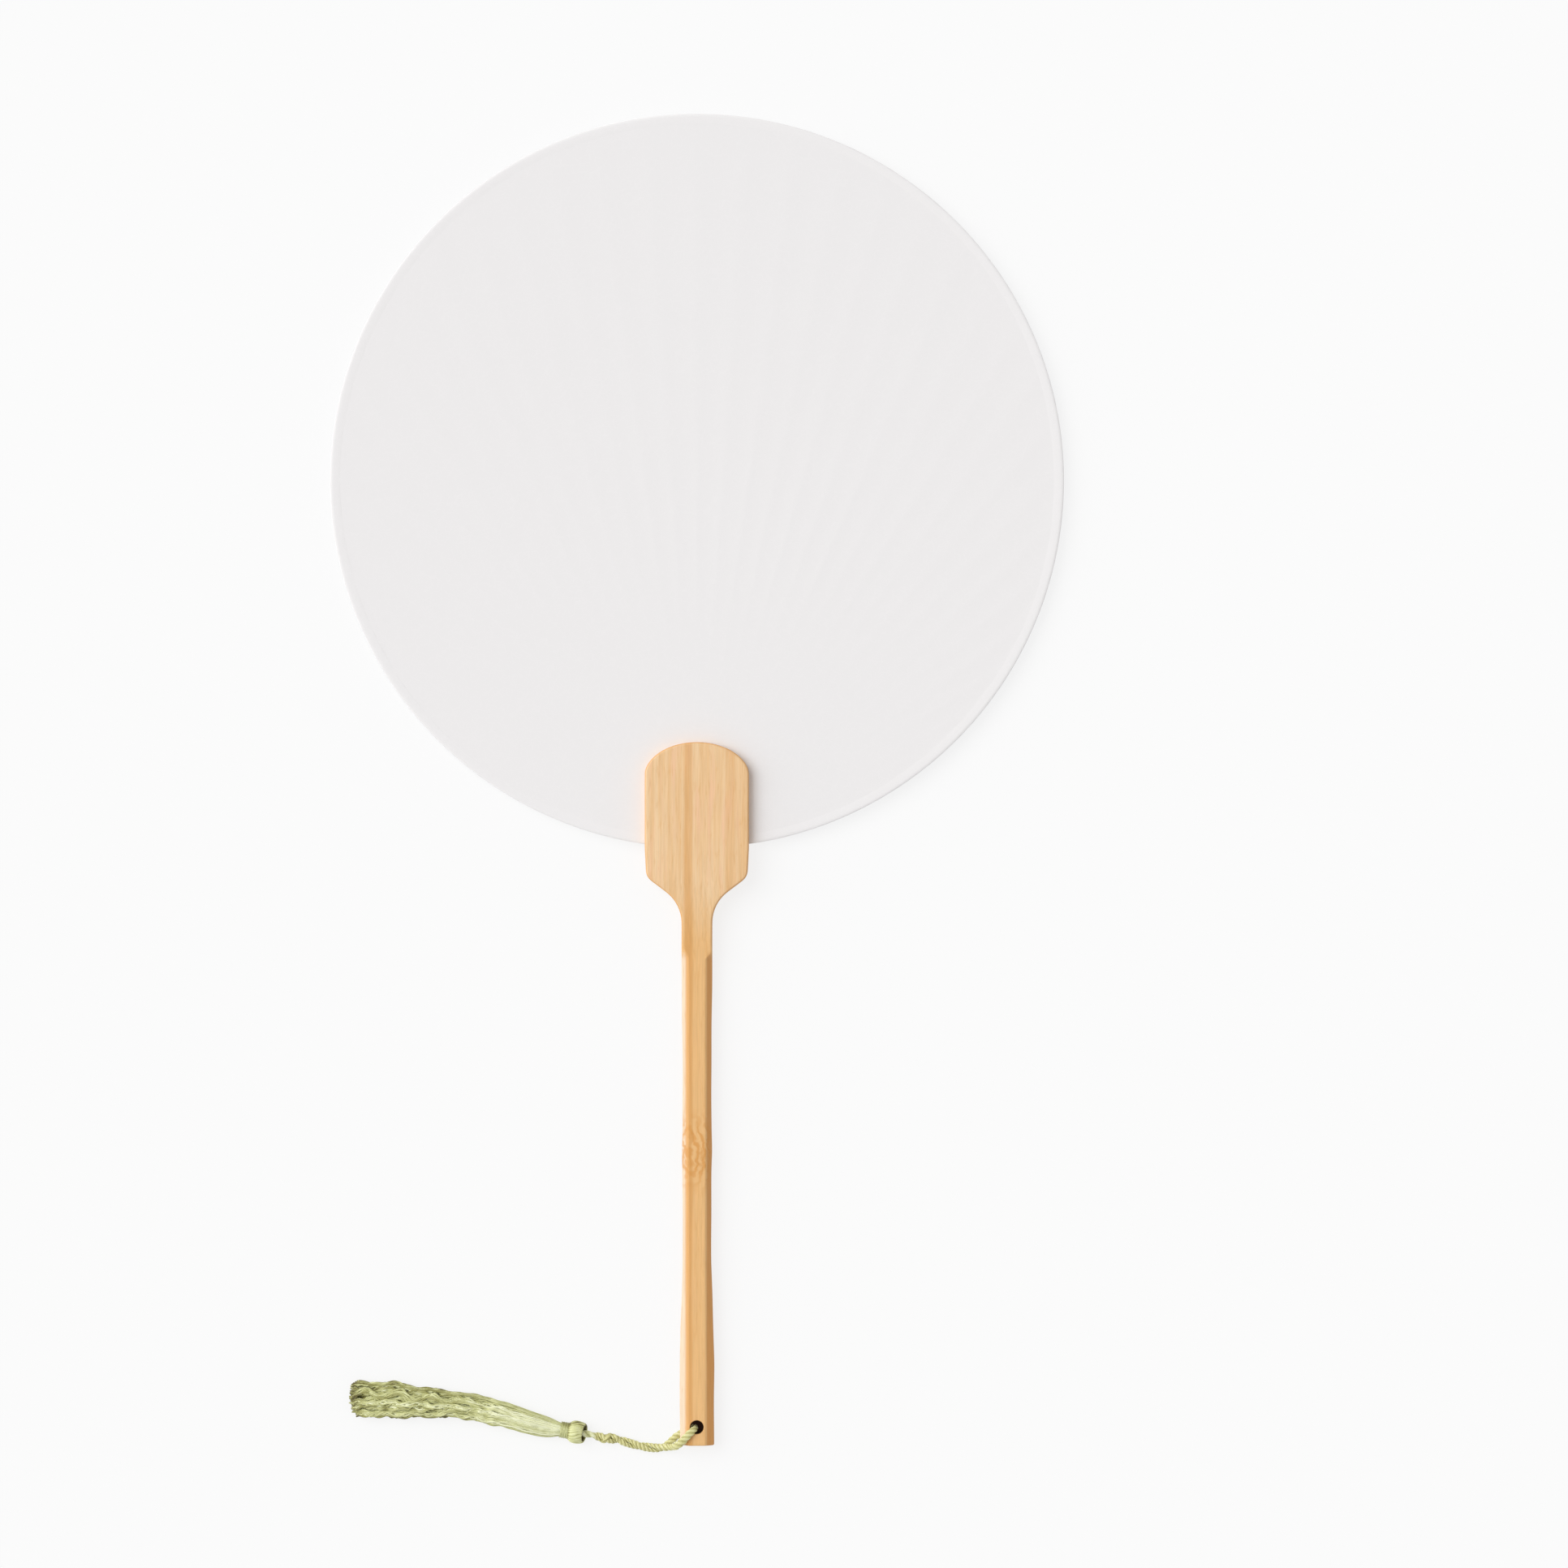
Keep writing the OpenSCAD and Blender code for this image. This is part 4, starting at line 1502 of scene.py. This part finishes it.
@dataclass
class Handle:
    """One piece of bamboo: slotted paddle, flare, neck and chamfered shaft."""

    crown_y: float = 11.5 * MM
    crown_a: float = 16.35 * MM
    crown_h: float = 11 * MM
    paddle_half: float = 16 * MM
    paddle_t: float = 4 * MM
    leaf_low_y: float = -21 * MM
    shoulder_half: float = 15.6 * MM
    shoulder_y: float = -30 * MM
    bevel: float = 0.8 * MM
    slope: float = np.radians(37)
    flare_r: float = 12 * MM
    neck_half: float = 4.7 * MM
    waist_half: float = 4.45 * MM
    butt_half: float = 5.3 * MM
    shaft_t: float = 2.4 * MM
    neck_l: float = 9 * MM
    waist_top_y: float = -95 * MM
    waist_end_y: float = -149 * MM
    butt_from_y: float = -180 * MM
    butt_y: float = -205 * MM
    flat_half: float = 2.6 * MM
    chamfer_h: float = 1.9 * MM
    worn: float = 0.4 * MM
    slot_half: float = 0.5 * MM
    slot_floor_y: float = -21.1 * MM
    hole_r: float = 2 * MM
    fades: tuple[float, float] = (2.4 * MM, 4.5 * MM)
    butt_wear: tuple[tuple[float, float], ...] = (
        (0.12 * MM, 0.032 * MM), (0.3 * MM, 0.144 * MM), (0.4 * MM, 0.352 * MM))
    waver: float = 0.05 * MM
    joint_swell: float = 0.14 * MM

    def flare_y(self) -> float:
        """Place where the hollow of the flare ends and the neck begins."""
        turn = np.pi / 2 - self.slope
        ramp_x = self.neck_half + self.flare_r * (1 - np.cos(turn))
        ramp_y = self.shoulder_y - (self.shoulder_half - ramp_x) * np.tan(self.slope)
        return ramp_y - self.flare_r * np.sin(turn)

    def chamfer_y(self) -> float:
        """Place where the neck ends and the chamfers begin."""
        return self.flare_y() - self.neck_l

    def outline(self) -> tuple[Array, Array]:
        """Right half of the outline, from the middle of the crown down to the butt.

        The crown is part of an ellipse, and the flare a hollow arc between the sloping
        shoulder and the neck.

        Returns:
            Its points, and at each the unit vector that points inwards.
        """
        start = np.arccos(self.paddle_half / self.crown_a)
        a = np.linspace(np.pi / 2, start, 60)[:, None]
        crown = np.hstack([self.crown_a * np.cos(a), self.crown_y - self.crown_h * (1 - np.sin(a))])
        sides = np.array([
            [self.paddle_half, self.leaf_low_y], [self.shoulder_half, self.shoulder_y + self.bevel],
            [self.shoulder_half - self.bevel, self.shoulder_y - self.bevel * np.tan(self.slope)]])
        b = np.linspace(np.pi / 2 - self.slope, 0, 30)[:, None]
        flare = np.hstack([self.neck_half + self.flare_r * (1 - np.cos(b)),
                           self.flare_y() + self.flare_r * np.sin(b)])
        shaft = np.array([
            [self.neck_half, self.chamfer_y()], [self.waist_half, self.waist_top_y],
            [self.waist_half, self.waist_end_y], [self.butt_half, self.butt_from_y],
            [self.butt_half, self.butt_y + self.worn]])
        chain = np.vstack([crown, sides, flare, shaft])
        reach = travelled(chain)
        paddle_end = reach[-len(shaft) - 1]
        steps = np.concatenate([np.linspace(0, paddle_end, 170, endpoint=False),
                                np.linspace(paddle_end, reach[-1], 190)])
        line = soften(np.stack([np.interp(steps, reach, column) for column in chain.T], 1), 2)
        line[0, 0] = 0
        tangent = unit(np.gradient(line, axis=0))
        tangent[0] = [1, 0]
        return line, np.stack([tangent[:, 1], -tangent[:, 0]], axis=1)

    def half_thickness(self, y: Array) -> Array:
        """Half the thickness: paddle, then a slope with softened ends, then shaft.

        Args:
            y: places along the handle.

        Returns:
            Half the thickness at each.
        """
        table_y = np.linspace(self.butt_y - 10 * MM, self.crown_y + 10 * MM, 900)
        plain = np.interp(table_y, [self.chamfer_y(), self.shoulder_y],
                          [self.shaft_t, self.paddle_t])
        return np.interp(y, table_y, soften(plain[:, None], 5)[:, 0])

    def quarter(self, line: Array, inward: Array, side: int, face: int, fade: float) -> Array:
        """One quarter of every ring, from the middle of the wall to the centre line.

        The wall rises to the chamfer, and both of the chamfer's edges are rounded as
        quadratic curves; in the paddle the chamfer is only a worn edge.

        Args:
            line: outline points.
            inward: unit vectors pointing inwards from them.
            side: 1 for the right, -1 for the left.
            face: 1 for the front, -1 for the back.
            fade: length over which the chamfer comes in.

        Returns:
            Points of shape (stations, columns, 3).
        """
        y = line[:, 1]
        start = self.chamfer_y() + (2.5 * MM if side < 0 else 0)
        full = ease(y, start, start - fade) * ease(line[:, 0], 7 * MM, 6 * MM)
        inset = self.worn + full * (np.maximum(line[:, 0] - self.flat_half, 0) - self.worn)
        drop = self.worn + full * (self.chamfer_h - self.worn)
        slant = np.hypot(inset, drop)
        cut_in = np.minimum(0.32 * MM, 0.45 * slant)
        none = np.zeros_like(drop)
        step = np.stack([inset, -drop], axis=1) / slant[:, None] * cut_in[:, None]
        low, top = np.stack([none, drop], axis=1), np.stack([inset, none], axis=1)
        low_curve = self.rounded(low + np.stack([none, cut_in], axis=1), low, low + step)
        top_curve = self.rounded(top - step, top, top + np.stack([cut_in, none], axis=1))
        half_t = self.half_thickness(y)
        wall_z = (half_t - drop - cut_in)[:, None] * [0, 0.34, 0.67]
        wall = np.stack([0 * wall_z, half_t[:, None] - wall_z], axis=-1)
        cut_line = np.concatenate([wall, low_curve, top_curve], axis=1)
        place = line[:, None] + cut_line[..., :1] * inward[:, None]
        depth = self.half_thickness(place[..., 1]) - cut_line[..., 1]
        depth[:, 0] = 0
        edge = np.stack([np.maximum(place[..., 0], 0), place[..., 1], depth], axis=-1)
        inwards = np.linspace(1, 0, 9)[1:]
        flat = np.repeat(edge[:, -1:], len(inwards), axis=1)
        flat[..., 0] *= inwards
        return np.concatenate([edge, flat], axis=1) * [side, 1, face]

    def rounded(self, start: Array, corner: Array, end: Array) -> Array:
        """Quadratic curve (1-t)^2 start + 2t(1-t) corner + t^2 end, at every station.

        Args:
            start: where the curve begins, one point a station.
            corner: the corner that it rounds.
            end: where it ends.

        Returns:
            Points of shape (stations, 6, 2).
        """
        t = np.linspace(0, 1, 6)[None, :, None]
        return ((1 - t) ** 2 * start[:, None] + 2 * t * (1 - t) * corner[:, None]
                + t**2 * end[:, None])

    def build(self) -> Piece:
        """Builds the handle, then saws its slot and drills its hole.

        Returns:
            The piece.
        """
        line, inward = self.outline()
        right, left = self.fades
        one, two, three, four = (
            self.quarter(line, inward, side, face, fade)
            for side, face, fade in ((1, 1, right), (-1, 1, left), (-1, -1, left), (1, -1, right)))
        rings = np.concatenate([one, two[:, -2::-1], three[:, 1:], four[:, -2:0:-1]], axis=1)
        closing = np.stack([rings[-1]] * len(self.butt_wear))
        back, shrink = np.array(self.butt_wear).T[:, :, None]
        closing[..., 0] *= 1 - shrink / self.butt_half
        closing[..., 1] -= back
        closing[..., 2] *= 1 - shrink / self.shaft_t
        rings = self.weathered(np.concatenate([rings, closing]))
        skin = sheet(rings, wrap=True)
        last = (len(rings) - 1) * rings.shape[1]
        skin.faces.append(list(range(last, last + rings.shape[1])))
        piece = skin.write("bamboo_handle")
        cleaned(piece, 1e-6)
        cut(piece, self.slot_tool())
        cut(piece, self.hole_tool())
        piece.data.set_sharp_from_angle(angle=np.radians(38))
        return piece

    def weathered(self, points: Array) -> Array:
        """Moves the points a little: planed edges waver, and the culm's joint swells.

        Args:
            points: the handle's points.

        Returns:
            The moved points.
        """
        x, y, z = np.moveaxis(points, -1, 0)
        waver = np.sin(y / (9.1 * MM) + 1.3 * np.sign(x)) + 0.6 * np.sin(y / (3.7 * MM))
        swell = self.joint_swell * np.exp(-(((y - CULM_JOINT_Y) / (4 * MM)) ** 2))
        shaft = ease(y, -44 * MM, -60 * MM)
        wide = (self.waver * waver + swell * np.sign(x)) * shaft * np.abs(x) / self.waist_half
        return np.stack([x + wide, y, z + swell * 0.6 * shaft * z / self.shaft_t], axis=-1)

    def slot_tool(self) -> Piece:
        """Saw cut that the leaf is glued into.

        Returns:
            A closed box.
        """
        low = np.array([-20 * MM, self.slot_floor_y, -self.slot_half])
        high = np.array([20 * MM, 14 * MM, self.slot_half])
        corner = np.array([[x, y, z] for x in (0, 1) for y in (0, 1) for z in (0, 1)])
        faces = [[0, 1, 3, 2], [4, 6, 7, 5], [0, 4, 5, 1], [2, 3, 7, 6], [0, 2, 6, 4], [1, 5, 7, 3]]
        return Skin(low + corner * (high - low), faces).write("slot_tool", smooth=False)

    def hole_tool(self) -> Piece:
        """Drill with a worn flare at both ends.

        Its radius is hole_r + flare_w * o^2 / (1 + 0.3 o), where o is the way into the
        flare over flare_l.

        Returns:
            A closed tube.
        """
        flare_z, flare_l, flare_w = 1.8 * MM, 0.6 * MM, 0.32 * MM
        z = np.concatenate([np.linspace(-3.4, -1.8, 12), np.linspace(1.8, 3.4, 12)]) * MM
        over = np.maximum(np.abs(z) - flare_z, 0) / flare_l
        radius = self.hole_r + flare_w * over**2 / (1 + 0.3 * over)
        path = np.stack([0 * z, 0 * z + HOLE[1], z], axis=1)
        rings = rings_on(path, np.tile([1.0, 0, 0], (len(z), 1)), radius, radius,
                         np.ones((len(z), 64)))
        return tubes(rings[None]).write("hole_tool")


# ---------------------------------------------------------------- assembly


def main() -> None:
    """Builds the set and the fan in order."""
    logging.basicConfig(level=logging.INFO, format="%(message)s")
    bpy.context.scene.view_settings.view_transform = "Standard"
    studio = Studio()
    studio.camera()

    cord_finish = Yarn("cord_yarn", (96, 82, 32), (152, 145, 80), (205, 201, 134),
                       (238, 237, 190), slant=1.6, filaments=14, relief=0.014 * MM).make()
    yarn_finish = Yarn("tassel_yarn", (92, 82, 22), (154, 152, 84), (212, 214, 152),
                       (250, 252, 214), slant=0.5, filaments=5, relief=0.035 * MM).make()
    cord = Cord()
    piece, line = cord.build()
    settle(piece, cord_finish, Slot.CORD, Body.CORD, "cord_loop", "cord_pair")
    knot = settle(Knot().build(cord), cord_finish, Slot.CORD, Body.CORD, "cord_knot")
    LOG.info("cord length %.4f", travelled(line)[-1])

    tassel = Tassel()
    neck = settle(tassel.neck(), yarn_finish, Slot.CORD, None, "neck_cord")
    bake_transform(neck)
    settle(tassel.head(), yarn_finish, Slot.YARN, Body.TASSEL, "tassel_head")
    settle(tassel.winding(), yarn_finish, Slot.CORD, Body.TASSEL, "neck_wrap")
    settle(tassel.skirt(), yarn_finish, Slot.YARN, Body.TASSEL, "tassel_skirt")

    leaf = Leaf()
    paper = Paper("leaf_paper", (236, 234, 234), (238, 236, 236)).make()
    strip = Paper("edging_paper", (237, 235, 235), (239, 237, 237)).make()
    settle(leaf.paper(1), paper, Slot.LEAF, Body.FAN, "front_paper")
    settle(leaf.paper(-1), paper, Slot.LEAF, Body.FAN, "rear_paper")
    settle(leaf.edging(), strip, Slot.EDGING, Body.FAN, "rim_edging")

    settle(Handle().build(), Bamboo().make(), Slot.HANDLE, Body.FAN, "handle")
    ribs = RawBamboo().make()
    for name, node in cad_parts.items():
        if name.startswith("rib_"):
            for holder in node.material_slots:
                holder.material = ribs

    studio.floor()
    studio.light()


if __name__ == "__main__":
    main()
